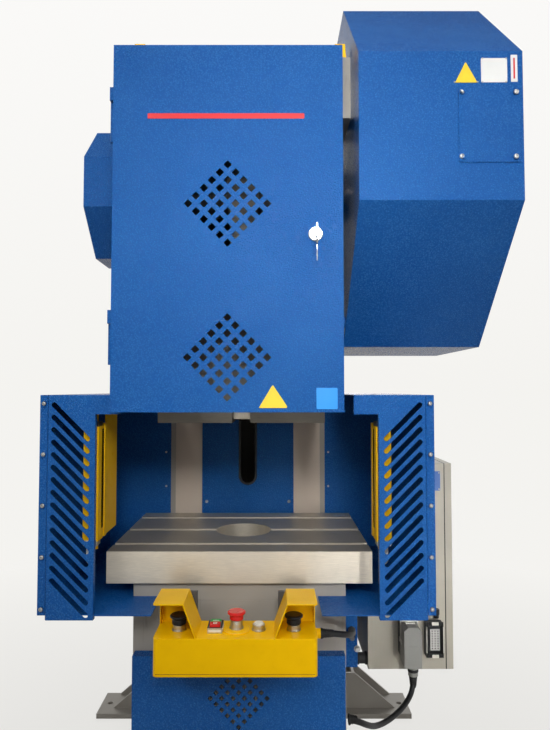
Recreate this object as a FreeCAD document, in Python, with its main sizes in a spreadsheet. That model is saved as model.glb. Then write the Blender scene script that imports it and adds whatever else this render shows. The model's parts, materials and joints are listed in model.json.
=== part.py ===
"""Mechanical stamping press: an open-gap (C-frame) eccentric press with a two-hand console,
side guards with light curtains, a flywheel guard on the right and an electrical cabinet.

Millimetres. X points to the operator's right, Y away from the operator, Z up. The origin is the
centre of the four anchor holes, on the floor. The driving dimensions are in the spreadsheet
"sizes", and every sub-part is bound to them.
"""

import FreeCAD, Part
import math
import os
import re

import Sketcher

SIZES = (
    ("frame_width", 510, "over the two side plates"),
    ("side_thick", 25, "side plate"),
    ("base_depth", 1276, "side plate, front to back"),
    ("table_top", 925, "floor to the top of the bed table"),
    ("table_thick", 45, "bed table plate"),
    ("drop_hole_rad", 90, "scrap hole in the bed table"),
    ("ram_setback", 205, "bed front to the ram's axis"),
    ("throat_depth", 251, "ram's axis to the throat posts"),
    ("throat_round", 60, "corner under the head"),
    ("head_reach", 190, "ram's axis forward to the head's front edge"),
    ("brow_reach", 342, "ram's axis forward to the brow that carries the door"),
    ("brow_height", 140, "brow of the side plate"),
    ("head_rear", 733, "ram's axis back to the head's rear edge"),
    ("corner_cut", 50, "chamfer at the head's top rear corner"),
    ("slope_top", 900, "upper end of the rear slope"),
    ("slope_low", 500, "lower end of the rear slope"),
    ("front_plate_thick", 20, "plate that closes the bed's front"),
    ("front_plate_low", 300, "its lower edge"),
    ("cross_thick", 20, "crown and base plates"),
    ("rear_thick", 15, "rear plates"),
    ("post_width", 84, "throat post"),
    ("post_thick", 30, "throat post"),
    ("post_ledge", 16, "ledge that the throat panel is screwed to"),
    ("sheet_thick", 2.5, "folded sheet covers"),
    ("seat_gap", 0.3, "clearance of a piece set into another"),
    ("slot_rad", 25, "ejection slot in the throat panel"),
    ("edging_out", 4, "rubber edging beyond the slot"),
    ("edging_in", 3, "rubber edging inside the slot"),
    ("edging_thick", 6, "rubber edging, front to back"),
    ("foot_reach", 665, "machine's centre to the end of a foot"),
    ("foot_depth", 172, "foot, front to back"),
    ("foot_thick", 20, "foot plate"),
    ("gusset_height", 166, "floor to the top of a gusset"),
    ("gusset_flat", 432, "machine's centre to the end of the gusset's level top"),
    ("gusset_end", 604, "machine's centre to the gusset's toe"),
    ("gusset_thick", 12, "gusset"),
    ("gusset_inset", 48, "inner edge of the foot to the inner gusset"),
    ("anchor_offset", 36, "anchor hole to the end of the foot"),
    ("anchor_rad", 11, "anchor hole"),
    ("lug_height", 88, "lifting lug"),
    ("lug_length", 160, "lifting lug at its root"),
    ("lug_hole_rad", 22, "lifting lug's hole"),
    ("bolster_width", 634, "bolster plate, left to right"),
    ("bolster_depth", 440, "bolster plate, front to back"),
    ("bolster_thick", 75, "bolster plate"),
    ("bolster_bore", 75, "radius of the bolster's hole"),
    ("tee_pitch", 150, "between T-slots"),
    ("tee_neck", 18, "T-slot's mouth"),
    ("tee_foot", 30, "T-slot's wide part"),
    ("tee_foot_height", 12, "T-slot's wide part"),
    ("tee_depth", 32, "T-slot"),
    ("crank_throw", 40, "eccentricity, half the stroke"),
    ("bearing_rad", 85, "bearing bore in the side plates"),
    ("bearing_flange", 112, "radius of the bearing's flange"),
    ("bearing_stand", 7, "bearing sleeve outside the side plate"),
    ("journal_rad", 60, "crankshaft journal"),
    ("shaft_left_rad", 45, "crankshaft's left end"),
    ("shaft_right_rad", 50, "crankshaft's right end"),
    ("shaft_left_end", 380, "machine's centre to the shaft's left end"),
    ("shaft_right_end", 540, "machine's centre to the shaft's right end"),
    ("run_clear", 0.05, "radial running clearance"),
    ("eccentric_rad", 101, "eccentric drum"),
    ("strap_wall", 35, "eccentric strap"),
    ("strap_width", 80, "eccentric strap, along the shaft"),
    ("rod_foot", 88, "connecting rod's width at its lower end"),
    ("rod_shoulder", 124, "connecting rod's width at the strap"),
    ("rod_thick", 70, "connecting rod, along the shaft"),
    ("screw_rad", 27, "adjusting screw"),
    ("screw_depth", 88, "adjusting screw in the rod"),
    ("ball_rad", 36, "ball of the adjusting screw"),
    ("locknut_rad", 41, "lock nut over its corners"),
    ("locknut_height", 26, "lock nut"),
    ("ram_width", 250, "ram between the roots of its vee guides"),
    ("ram_depth", 300, "ram, front to back"),
    ("ram_low", 1302, "floor to the ram's tool face at top dead centre"),
    ("ram_body_height", 358, "ram above its flange"),
    ("ram_flange_width", 422, "ram's tool flange"),
    ("ram_flange_thick", 40, "ram's tool flange"),
    ("vee_height", 25, "vee guide, root to ridge"),
    ("vee_width", 60, "vee guide at its root"),
    ("gib_clear", 0.5, "gib to the ram's vee, along the shaft"),
    ("gib_depth", 280, "gib, front to back"),
    ("gib_drop", 4, "gib's lower end above the ram's flange"),
    ("pocket_width", 100, "rod pocket in the ram"),
    ("pocket_depth", 200, "rod pocket, front to back"),
    ("pocket_low", 1480, "floor of the rod pocket"),
    ("shank_rad", 25, "tool shank bore"),
    ("notch_width", 45, "notch for the shank clamp"),
    ("notch_height", 68, "shank bore and notch"),
    ("clamp_length", 85, "shank clamp, front to back"),
    ("clamp_inset", 38, "ram's front to the clamp"),
    ("flywheel_rad", 355, "flywheel"),
    ("flywheel_near", 290, "machine's centre to the flywheel"),
    ("flywheel_width", 110, "flywheel rim and hub"),
    ("flywheel_rim", 65, "flywheel rim, radially"),
    ("flywheel_hub", 95, "radius of the flywheel's hub"),
    ("flywheel_web", 28, "flywheel web"),
    ("belt_pitch", 25, "between belts"),
    ("belt_width", 13, "V-belt"),
    ("belt_thick", 10, "V-belt"),
    ("groove_depth", 14, "belt groove"),
    ("clutch_rad", 170, "clutch and brake unit"),
    ("clutch_width", 118, "clutch and brake unit"),
    ("brake_rad", 125, "brake drum on the left"),
    ("brake_near", 290, "machine's centre to the brake drum"),
    ("brake_width", 80, "brake drum"),
    ("motor_offset", 373, "crankshaft back to the motor's axis"),
    ("motor_rad", 105, "motor housing"),
    ("motor_left", 160, "machine's centre to the fan cowl"),
    ("motor_right", 190, "machine's centre to the motor's flange"),
    ("motor_shaft_rad", 19, "motor shaft"),
    ("pulley_rad", 62, "motor pulley"),
    ("pulley_width", 86, "motor pulley"),
    ("door_left", 272, "machine's centre to the door's left edge"),
    ("door_right", 234, "machine's centre to the door's right edge"),
    ("door_thick", 28, "door with its folded edges"),
    ("vent_step", 24.5, "between holes along a row of a door vent"),
    ("vent_hole", 13.2, "side of a square hole in the door"),
    ("vent_count", 6, "holes in a row"),
    ("lock_right", 173, "machine's centre to the lock"),
    ("lock_rad", 11, "lock barrel"),
    ("hood_depth", 178, "sheet wall left of the head"),
    ("hinge_rad", 6, "door hinge pin barrel"),
    ("hinge_length", 90, "door hinge"),
    ("cover_high", 762, "floor to the lower cover's top"),
    ("cover_low", 40, "floor to the lower cover"),
    ("cover_thick", 30, "lower cover, front to back"),
    ("cover_vent", 665, "centre of the lower cover's vent"),
    ("cover_step", 18.7, "between holes along a row of its vent"),
    ("cover_hole", 9.4, "side of a square hole in it"),
    ("fly_left", 266, "machine's centre to the flywheel guard"),
    ("fly_right", 623, "machine's centre to the guard's outer face"),
    ("fly_front", 390, "crankshaft forward to the guard's front"),
    ("fly_length", 998, "flywheel guard, front to back"),
    ("fly_cut_high", 264, "upper chamfers"),
    ("fly_cut_low", 296, "lower chamfers"),
    ("spacer_rad", 15, "spacers that carry the flywheel guard"),
    ("plate_width", 134, "inspection plate on the flywheel guard"),
    ("plate_height", 167, "inspection plate"),
    ("plate_edge", 7, "inspection plate to the guard's outer edge"),
    ("brake_out", 403, "machine's centre to the left guard's outer face"),
    ("brake_seam", 366, "machine's centre to its seam"),
    ("brake_size", 349, "left guard across its flats"),
    ("brake_cut", 110, "left guard's chamfers"),
    ("brake_back", 14.5, "crankshaft back to the left guard's centre"),
    ("brake_drop", 13, "crankshaft down to the left guard's centre"),
    ("screen_inner", 315, "machine's centre to a side guard's inner edge"),
    ("screen_outer", 440, "machine's centre to a side guard's outer face"),
    ("screen_reach", 123, "bed front forward to a side guard"),
    ("screen_low", 880, "floor to a side guard"),
    ("lintel_inner", 260, "machine's centre to the lintel's end"),
    ("lintel_height", 43, "lintel"),
    ("screen_return", 13, "folded edges of the perforated panel"),
    ("screen_flange", 18, "set-back flange with the screws"),
    ("screen_step", 5, "how far it is set back"),
    ("flange_rise", 9, "side guard's lower end up to the flange's"),
    ("shelf_inner", 188, "machine's centre to the floor sheet's edge"),
    ("shelf_rise", 8, "side guard's lower end up to the floor sheet"),
    ("slit_pitch", 27.6, "between slots"),
    ("slit_rise", 75, "slot, end centre to end centre, up and across"),
    ("slit_rad", 5.7, "half a slot's width"),
    ("slit_outer", 407, "machine's centre to the slots' outer end centres"),
    ("curtain_inner", 312, "machine's centre to a light curtain"),
    ("curtain_width", 34, "light curtain, left to right"),
    ("curtain_depth", 68, "light curtain, front to back"),
    ("curtain_front", 18, "side guard's face back to the light curtain"),
    ("curtain_post_width", 4, "bracket plate of the left light curtain"),
    ("curtain_post_leg", 94, "its bracket plate, front to back"),
    ("console_width", 350, "two-hand console"),
    ("console_depth", 100, "two-hand console"),
    ("console_height", 79, "two-hand console"),
    ("console_top", 859, "floor to the console's top"),
    ("console_reach", 169, "bed front forward to the console's front"),
    ("shroud_height", 72, "palm button shroud above the console"),
    ("shroud_top_in", 110, "machine's centre to the shroud's roof"),
    ("shroud_foot_in", 83, "machine's centre to the foot of its sloping wall"),
    ("shroud_lip", 18, "side flange of the shroud's back"),
    ("palm_offset", 126, "machine's centre to a palm button"),
    ("pilot_offset", 49, "machine's centre to the small buttons"),
    ("palm_rad", 20, "palm button and emergency stop head"),
    ("collar_rad", 13.5, "button collar"),
    ("collar_height", 12, "button collar"),
    ("palm_skirt", 14, "console to a palm button's skirt"),
    ("palm_crown", 34, "console to a palm button's crown"),
    ("stop_skirt", 24, "console to the emergency stop's skirt"),
    ("stop_crown", 41, "console to the emergency stop's crown"),
    ("cap_width", 23, "start and stop caps"),
    ("cap_depth", 17, "start and stop caps, front to back"),
    ("cap_pitch", 20, "start cap to stop cap"),
    ("bezel_width", 32, "bezel round both caps"),
    ("bezel_depth", 43, "bezel, front to back"),
    ("stem_rad", 11, "button stem"),
    ("disc_rad", 30, "disc under the emergency stop"),
    ("arm_width", 14, "console arm"),
    ("carrier_right", 350, "machine's centre to the cabinet carrier's face"),
    ("carrier_front", 273, "ram's axis back to the carrier's front"),
    ("carrier_depth", 450, "carrier, front to back"),
    ("carrier_low", 502, "floor to the carrier"),
    ("carrier_high", 1100, "floor to the carrier's top"),
    ("carrier_wall", 4, "carrier plate"),
    ("cabinet_left", 383, "machine's centre to the cabinet"),
    ("cabinet_thick", 250, "cabinet body, left to right"),
    ("cabinet_front", 270, "ram's axis back to the cabinet"),
    ("cabinet_length", 600, "cabinet, front to back"),
    ("cabinet_low", 498, "floor to the cabinet"),
    ("cabinet_height", 650, "cabinet"),
    ("cabinet_door_thick", 21, "cabinet door"),
    ("cabinet_seal", 0.6, "cabinet to its door"),
    ("cabinet_hinge", 60, "cabinet hinge, up and down"),
    ("buffer_rad", 20, "rubber buffer"),
    ("buffer_inset", 26, "cabinet's edges to a buffer's axis"),
    ("plug_right", 505, "machine's centre to the closed connector"),
    ("socket_right", 588, "machine's centre to the open connector"),
    ("connector_width", 53, "connector housing, left to right"),
    ("connector_height", 104, "connector housing"),
    ("connector_depth", 35, "connector housing, off the cabinet"),
    ("connector_middle", 600, "floor to the connectors' centres"),
    ("hood_height", 121, "cable hood"),
    ("hood_depth_out", 60, "cable hood"),
    ("gland_rad", 14, "cable glands"),
    ("gland_length", 30, "strain relief under the plug"),
    ("cable_rad", 8, "cabinet cable"),
    ("lead_rad", 7, "console cable"),
    ("rod_length", 270, "crank pin down to the rod's lower end"),
    ("ball_drop", 80, "rod's lower end down to the ball"),
    ("head_above", 206, "crankshaft up to the head's top"),
    ("gib_below", 170, "crankshaft down to the gibs' upper end"),
    ("post_below", 210, "crankshaft down to the throat posts' top"),
    ("motor_above", 129, "head's top up to the motor's axis"),
    ("fly_below", 432, "crankshaft down to the flywheel guard's underside"),
    ("fly_above", 456, "crankshaft up to the flywheel guard's top"),
    ("plate_above", 30, "crankshaft up to the inspection plate's centre"),
    ("throat_above", 118, "ram's tool face up to the throat's roof"),
    ("slot_above", 87, "bolster up to the ejection slot"),
    ("slot_below", 90, "throat's roof down to the ejection slot"),
    ("door_above", 35, "ram's tool face up to the door's lower edge"),
    ("door_over", 12, "door's top above the head"),
    ("upper_vent_up", 456, "door's lower edge up to its upper vent"),
    ("lower_vent_up", 119, "door's lower edge up to its lower vent"),
    ("lock_up", 388, "door's lower edge up to its lock"),
    ("screen_above", 72, "ram's tool face up to the side guards' top"),
    ("slit_below", 22, "side guard's top down to the first slot"),
    ("slit_margin", 94, "side guard's height that the column of slots leaves free"),
    ("curtain_above", 46, "bolster up to a light curtain"),
    ("curtain_below", 66, "side guard's top down to a light curtain"),
)

# heights that follow from the driving sizes, from the die space up to the guard's top
DERIVED = {
    "cabinet_high_hinge": "cabinet_low + cabinet_height - 80 - cabinet_hinge",
    "rod_low": "ram_low + ram_flange_thick + ram_body_height",
    "crank_height": "rod_low + rod_length - crank_throw",
    "ball_height": "rod_low - ball_drop",
    "head_top": "crank_height + head_above",
    "gib_top": "crank_height - gib_below",
    "post_top": "crank_height - post_below",
    "motor_height": "head_top + motor_above",
    "fly_low": "crank_height - fly_below",
    "fly_high": "crank_height + fly_above",
    "plate_middle": "crank_height + plate_above",
    "throat_top": "ram_low + throat_above",
    "slot_low": "table_top + bolster_thick + slot_above",
    "slot_high": "throat_top - slot_below",
    "door_low": "ram_low + door_above",
    "door_high": "head_top + door_over",
    "vent_upper": "door_low + upper_vent_up",
    "vent_lower": "door_low + lower_vent_up",
    "lock_height": "door_low + lock_up",
    "screen_high": "ram_low + screen_above",
    "slit_top": "screen_high - slit_below",
    "slit_count": "floor((screen_high - screen_low - slit_margin) / slit_pitch) + 1",
    "curtain_low": "table_top + bolster_thick + curtain_above",
    "curtain_high": "screen_high - curtain_below",
}

FRONT = "(-base_depth / 2)"
REAR = "(base_depth / 2)"
SIDE_OUT = "(frame_width / 2)"
SIDE_IN = "(frame_width / 2 - side_thick)"
RAM_Y = "(-base_depth / 2 + ram_setback)"
THROAT_Y = f"({RAM_Y} + throat_depth)"
HEAD_Y = f"({RAM_Y} - head_reach)"
BROW_Y = f"({RAM_Y} - brow_reach)"
HEAD_REAR_Y = f"({RAM_Y} + head_rear)"
TABLE_LOW = "(table_top - table_thick)"
BOLSTER_TOP = "(table_top + bolster_thick)"
MOTOR_Y = f"({RAM_Y} + motor_offset)"
SCREEN_Y = f"({FRONT} - screen_reach)"
CONSOLE_Y = f"({FRONT} - console_reach)"
CONSOLE_BACK = f"({CONSOLE_Y} + console_depth)"
CABINET_Y = f"({RAM_Y} + cabinet_front)"
CARRIER_Y = f"({RAM_Y} + carrier_front)"
RAM_TOP = "(ram_low + ram_flange_thick + ram_body_height)"

doc = FreeCAD.newDocument("press")
sheet = doc.addObject("Spreadsheet::Sheet", "sizes")
for row, (alias, size, meaning) in enumerate(SIZES, start=1):
    sheet.set(f"A{row}", meaning)
    sheet.set(f"B{row}", str(size))
    sheet.setAlias(f"B{row}", alias)
doc.recompute()

ALIASES = {alias for alias, size, meaning in SIZES}
pieces = []


def bound(text):
    """An expression on the sheet: derived heights are written out, and aliases get its name."""
    def spell(word):
        name = word.group()
        if name in DERIVED:
            return f"({bound(DERIVED[name])})"
        return f"sizes.{name}" if name in ALIASES else name
    return re.sub(r"[a-z_]+", spell, text)


def number(text):
    """The present value of an expression, in millimetres or as a count."""
    return float(sheet.evalExpression(bound(text)))


def bind(feature, target, text):
    feature.setExpression(target, bound(text))


def mirror_text(text):
    return f"(-({text}))"


def body(label):
    made = doc.addObject("PartDesign::Body", label)
    made.Label = label
    pieces.append(made)
    return made


def plane_of(owner, role):
    for feature in owner.Origin.OriginFeatures:
        if feature.Role == role:
            return feature
    raise RuntimeError(role)


# axis of the extrusion: its sketch plane, and the sign of the plane's normal along that axis
PLANES = {"X": ("YZ_Plane", 1), "Y": ("XZ_Plane", -1), "Z": ("XY_Plane", 1)}


def sketch_on(owner, axis, low, high):
    """A sketch at the end of [low, high] from which the plane's normal runs through it."""
    plane, sign = PLANES[axis]
    drawn = owner.newObject("Sketcher::SketchObject", f"{owner.Label}_sketch")
    drawn.AttachmentSupport = [(plane_of(owner, plane), "")]
    drawn.MapMode = "FlatFace"
    bind(drawn, "AttachmentOffset.Base.z", low if sign > 0 else mirror_text(high))
    return drawn


def pin_point(drawn, edge, end, across, up):
    """Ties a point of a sketch to two expressions, counted from the sketch's origin."""
    for kind, text in (("DistanceX", across), ("DistanceY", up)):
        made = drawn.addConstraint(Sketcher.Constraint(kind, edge, end, number(text)))
        bind(drawn, f"Constraints[{made}]", text)


def polygon(*corners):
    """A closed outline of straight edges through corners, each (across, up) in expressions."""
    def draw(drawn):
        first = drawn.GeometryCount
        ends = [FreeCAD.Vector(number(a), number(b), 0) for a, b in corners]
        for start, stop in zip(ends, ends[1:] + ends[:1]):
            drawn.addGeometry(Part.LineSegment(start, stop), False)
        for place in range(len(corners)):
            following = first + (place + 1) % len(corners)
            drawn.addConstraint(Sketcher.Constraint("Coincident", first + place, 2, following, 1))
            pin_point(drawn, first + place, 1, *corners[place])
    return draw


def rectangle(left, low, right, high):
    return polygon((left, low), (right, low), (right, high), (left, high))


def circle(across, up, radius):
    def draw(drawn):
        centre = FreeCAD.Vector(number(across), number(up), 0)
        edge = drawn.addGeometry(Part.Circle(centre, FreeCAD.Vector(0, 0, 1), number(radius)), False)
        pin_point(drawn, edge, 3, across, up)
        made = drawn.addConstraint(Sketcher.Constraint("Radius", edge, number(radius)))
        bind(drawn, f"Constraints[{made}]", radius)
    return draw


def obround(across_a, up_a, across_b, up_b, radius):
    """A slot's outline: two half circles joined by two tangent lines."""
    def draw(drawn):
        one = FreeCAD.Vector(number(across_a), number(up_a), 0)
        two = FreeCAD.Vector(number(across_b), number(up_b), 0)
        size = number(radius)
        turn = math.atan2(two.y - one.y, two.x - one.x)
        side = FreeCAD.Vector(-math.sin(turn), math.cos(turn), 0) * size
        up = FreeCAD.Vector(0, 0, 1)
        quarter = math.pi / 2
        first = drawn.addGeometry(Part.ArcOfCircle(Part.Circle(one, up, size),
                                                   turn + quarter, turn + 3 * quarter), False)
        second = drawn.addGeometry(Part.ArcOfCircle(Part.Circle(two, up, size),
                                                    turn - quarter, turn + quarter), False)
        lower = drawn.addGeometry(Part.LineSegment(one - side, two - side), False)
        upper = drawn.addGeometry(Part.LineSegment(two + side, one + side), False)
        for a, end_a, b, end_b in ((first, 2, lower, 1), (lower, 2, second, 1),
                                   (second, 2, upper, 1), (upper, 2, first, 1)):
            drawn.addConstraint(Sketcher.Constraint("Tangent", a, end_a, b, end_b))
        pin_point(drawn, first, 3, across_a, up_a)
        pin_point(drawn, second, 3, across_b, up_b)
        made = drawn.addConstraint(Sketcher.Constraint("Radius", first, size))
        bind(drawn, f"Constraints[{made}]", radius)
    return draw


def belt_loop(big, big_rad, small, small_rad):
    """The outline round two pulleys: two arcs and their two outer tangents."""
    def draw(drawn):
        one = FreeCAD.Vector(number(big[0]), number(big[1]), 0)
        two = FreeCAD.Vector(number(small[0]), number(small[1]), 0)
        large = number(big_rad)
        little = number(small_rad)
        span = two - one
        turn = math.atan2(span.y, span.x)
        lean = math.acos((large - little) / span.Length)
        up = FreeCAD.Vector(0, 0, 1)
        first = drawn.addGeometry(Part.ArcOfCircle(Part.Circle(one, up, large), turn + lean,
                                                   turn + 2 * math.pi - lean), False)
        second = drawn.addGeometry(Part.ArcOfCircle(Part.Circle(two, up, little), turn - lean,
                                                    turn + lean), False)
        ends = {sign: FreeCAD.Vector(math.cos(turn + sign * lean), math.sin(turn + sign * lean), 0)
                for sign in (-1, 1)}
        lower = drawn.addGeometry(Part.LineSegment(one + ends[-1] * large,
                                                   two + ends[-1] * little), False)
        upper = drawn.addGeometry(Part.LineSegment(two + ends[1] * little,
                                                   one + ends[1] * large), False)
        for a, end_a, b, end_b in ((first, 2, lower, 1), (lower, 2, second, 1),
                                   (second, 2, upper, 1), (upper, 2, first, 1)):
            drawn.addConstraint(Sketcher.Constraint("Tangent", a, end_a, b, end_b))
        for edge, centre, radius in ((first, big, big_rad), (second, small, small_rad)):
            pin_point(drawn, edge, 3, *centre)
            made = drawn.addConstraint(Sketcher.Constraint("Radius", edge, number(radius)))
            bind(drawn, f"Constraints[{made}]", radius)
    return draw


def pad(owner, axis, low, high, *outlines):
    """Adds the outlines, extruded from low to high along axis."""
    drawn = sketch_on(owner, axis, low, high)
    for outline in outlines:
        outline(drawn)
    made = owner.newObject("PartDesign::Pad", f"{owner.Label}_pad")
    made.Profile = drawn
    bind(made, "Length", f"({high}) - ({low})")
    owner.Tip = made
    return made


def pocket(owner, axis, low, high, *outlines):
    """Cuts the outlines away from low to high along axis."""
    drawn = sketch_on(owner, axis, low, high)
    for outline in outlines:
        outline(drawn)
    made = owner.newObject("PartDesign::Pocket", f"{owner.Label}_pocket")
    made.Profile = drawn
    made.Reversed = True
    bind(made, "Length", f"({high}) - ({low})")
    owner.Tip = made
    return made


def turned(label, at, axis, *profiles):
    """A body of revolution. Profiles are closed outlines of (radius, distance along axis)."""
    made = body(label)
    for profile in profiles:
        drawn = made.newObject("Sketcher::SketchObject", f"{label}_profile")
        drawn.AttachmentSupport = [(plane_of(made, "XZ_Plane"), "")]
        drawn.MapMode = "FlatFace"
        polygon(*profile)(drawn)
        round_it = made.newObject("PartDesign::Revolution", f"{label}_revolution")
        round_it.Profile = drawn
        round_it.ReferenceAxis = (drawn, ["V_Axis"])
        round_it.Angle = 360
        made.Tip = round_it
    if axis == "X":
        made.Placement.Rotation = FreeCAD.Rotation(FreeCAD.Vector(0, 1, 0), 90)
    elif axis == "Y":
        made.Placement.Rotation = FreeCAD.Rotation(FreeCAD.Vector(1, 0, 0), -90)
    for letter, text in zip("xyz", at):
        bind(made, f"Placement.Base.{letter}", text)
    return made


def fillet(owner, radius, touches):
    """Rounds the edges of the tip for which touches(edge) holds."""
    doc.recompute()
    base = owner.Tip
    names = [f"Edge{place}" for place, edge in enumerate(base.Shape.Edges, start=1)
             if touches(edge)]
    if not names:
        raise RuntimeError(f"no edge to round on {owner.Label}")
    made = owner.newObject("PartDesign::Fillet", f"{owner.Label}_fillet")
    made.Base = (base, names)
    bind(made, "Radius", radius)
    owner.Tip = made
    return made


def along(axis, **where):
    """A test for straight edges along axis at the given coordinates, such as y=..., z=..."""
    def touches(edge):
        box = edge.BoundBox
        spans = {"X": box.XLength, "Y": box.YLength, "Z": box.ZLength}
        if spans[axis] < 1 or any(spans[other] > 0.01 for other in spans if other != axis):
            return False
        middle = {"x": box.Center.x, "y": box.Center.y, "z": box.Center.z}
        return all(abs(middle[letter] - number(text)) < 0.05 for letter, text in where.items())
    return touches


def mirrored(label, source, normal="X"):
    """The mirror image of a piece in the plane through the origin."""
    made = doc.addObject("Part::Mirroring", label)
    made.Label = label
    made.Source = source
    made.Normal = {"X": FreeCAD.Vector(1, 0, 0), "Y": FreeCAD.Vector(0, 1, 0)}[normal]
    pieces.append(made)
    return made


def joined(label, *sources, fuse=False):
    """One piece of several: welded when fuse is set, and otherwise a group of like pieces."""
    made = doc.addObject("Part::MultiFuse" if fuse else "Part::Compound", label)
    made.Label = label
    if fuse:
        made.Shapes = list(sources)
    else:
        made.Links = list(sources)
    for source in sources:
        if source in pieces:
            pieces.remove(source)
    pieces.append(made)
    return made


def solid(label, shape):
    """A piece whose shape no feature of the modeller makes."""
    made = doc.addObject("Part::Feature", label)
    made.Label = label
    made.Shape = shape
    pieces.append(made)
    return made


def frame_side(label, low, high):
    """One of the two cut-out plates that carry the whole machine."""
    made = body(label)
    pad(made, "X", low, high, polygon(
        (FRONT, "0"), (REAR, "0"), (REAR, "slope_low"), (HEAD_REAR_Y, "slope_top"),
        (HEAD_REAR_Y, "head_top - corner_cut"), (f"{HEAD_REAR_Y} - corner_cut", "head_top"),
        (BROW_Y, "head_top"), (BROW_Y, "head_top - brow_height"),
        (HEAD_Y, "head_top - brow_height"), (HEAD_Y, "throat_top"), (THROAT_Y, "throat_top"),
        (THROAT_Y, TABLE_LOW), (FRONT, TABLE_LOW)))
    pocket(made, "X", low, high, circle(RAM_Y, "crank_height", "bearing_rad"))
    fillet(made, "throat_round", along("X", y=THROAT_Y, z="throat_top"))
    return made


def foot(label):
    """The front right foot: a bolted plate stiffened by two gussets and a web."""
    made = body(label)
    pad(made, "Z", "0", "foot_thick", rectangle(SIDE_OUT, FRONT, "foot_reach",
                                                f"{FRONT} + foot_depth"))
    for low in (FRONT, f"{FRONT} + foot_depth - gusset_inset - gusset_thick"):
        pad(made, "Y", low, f"{low} + gusset_thick", polygon(
            (SIDE_OUT, "foot_thick"), ("gusset_end", "foot_thick"),
            ("gusset_flat", "gusset_height"), (SIDE_OUT, "gusset_height")))
    pad(made, "Y", f"{FRONT} + gusset_thick",
        f"{FRONT} + foot_depth - gusset_inset - gusset_thick",
        rectangle("gusset_flat - gusset_thick", "foot_thick", "gusset_flat", "gusset_height"))
    pocket(made, "Z", "0", "foot_thick",
           circle("foot_reach - anchor_offset", f"{FRONT} + foot_depth / 2", "anchor_rad"))
    return made


frame_side("frame_side_left", mirror_text(SIDE_OUT), mirror_text(SIDE_IN))
right_side = frame_side("frame_side_right", SIDE_IN, SIDE_OUT)
pad(right_side, "X", SIDE_OUT, f"{SIDE_OUT} + 20", circle(f"{RAM_Y} - 20", "slope_low",
                                                          "gland_rad"))

bed_table = body("bed_table")
pad(bed_table, "Z", TABLE_LOW, "table_top",
    rectangle(mirror_text(SIDE_OUT), FRONT, SIDE_OUT, THROAT_Y),
    circle("0", RAM_Y, "drop_hole_rad"))

bed_front_plate = body("bed_front_plate")
pad(bed_front_plate, "Y", FRONT, f"{FRONT} + front_plate_thick",
    rectangle(mirror_text(SIDE_IN), "front_plate_low", SIDE_IN, TABLE_LOW))

post = body("throat_post")
pad(post, "Z", "front_plate_low", "post_top", polygon(
    (f"{SIDE_IN} - post_width", THROAT_Y), (SIDE_IN, THROAT_Y),
    (SIDE_IN, f"{THROAT_Y} + post_thick"),
    (f"{SIDE_IN} - post_width - post_ledge", f"{THROAT_Y} + post_thick"),
    (f"{SIDE_IN} - post_width - post_ledge", f"{THROAT_Y} + 3"),
    (f"{SIDE_IN} - post_width", f"{THROAT_Y} + 3")))
post_twin = mirrored("throat_post_twin", post)
joined("throat_posts", post, post_twin)

PANEL_EDGE = f"({SIDE_IN} - post_width - seat_gap)"
throat_panel = body("throat_panel")
pad(throat_panel, "Y", THROAT_Y, f"{THROAT_Y} + 3",
    rectangle(mirror_text(PANEL_EDGE), "table_top + 5", PANEL_EDGE, "throat_top + 30"),
    obround("0", "slot_low + slot_rad", "0", "slot_high - slot_rad", "slot_rad"))
for side in (PANEL_EDGE, mirror_text(PANEL_EDGE)):
    inward = "-" if side == PANEL_EDGE else "+"
    pad(throat_panel, "Y", f"{THROAT_Y} - 4", THROAT_Y, circle(f"{side} {inward} 9", "1049", "5"))

slot_edging = body("slot_edging")
pad(slot_edging, "Y", f"{THROAT_Y} - edging_thick", THROAT_Y,
    obround("0", "slot_low + slot_rad", "0", "slot_high - slot_rad", "slot_rad + edging_out"),
    obround("0", "slot_low + slot_rad", "0", "slot_high - slot_rad", "slot_rad - edging_in"))

SLOPE_RUN = f"({REAR} - {HEAD_REAR_Y})"
SLOPE_RISE = "(slope_top - slope_low)"
SLOPE = f"sqrt({SLOPE_RUN} ^ 2 + {SLOPE_RISE} ^ 2)"
head_box = body("head_box")
pad(head_box, "X", mirror_text(SIDE_IN), SIDE_IN, polygon(
    (BROW_Y, "head_top"), (BROW_Y, "head_top - cross_thick"),
    (f"{HEAD_REAR_Y} - corner_cut + cross_thick - rear_thick * sqrt(2)",
     "head_top - cross_thick"),
    (f"{HEAD_REAR_Y} - rear_thick", "head_top - corner_cut + rear_thick * (1 - sqrt(2))"),
    (f"{HEAD_REAR_Y} - rear_thick", f"slope_top - rear_thick * ({SLOPE} - {SLOPE_RISE})"
     f" / {SLOPE_RUN}"),
    (f"{REAR} - rear_thick * {SLOPE} / {SLOPE_RISE}", "slope_low"),
    (REAR, "slope_low"), (HEAD_REAR_Y, "slope_top"), (HEAD_REAR_Y, "head_top - corner_cut"),
    (f"{HEAD_REAR_Y} - corner_cut", "head_top")))

base_plate = body("base_plate")
pad(base_plate, "X", mirror_text(SIDE_IN), SIDE_IN, polygon(
    (f"{FRONT} + 30", "0"), (REAR, "0"), (REAR, "slope_low"), (f"{REAR} - rear_thick", "slope_low"),
    (f"{REAR} - rear_thick", "cross_thick"), (f"{FRONT} + 30", "cross_thick")))

foot_right = foot("foot_right")
foot_left = mirrored("foot_left", foot_right)
feet_front = joined("feet_front", foot_right, foot_left)
mirrored("feet_rear", feet_front, "Y")

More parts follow.
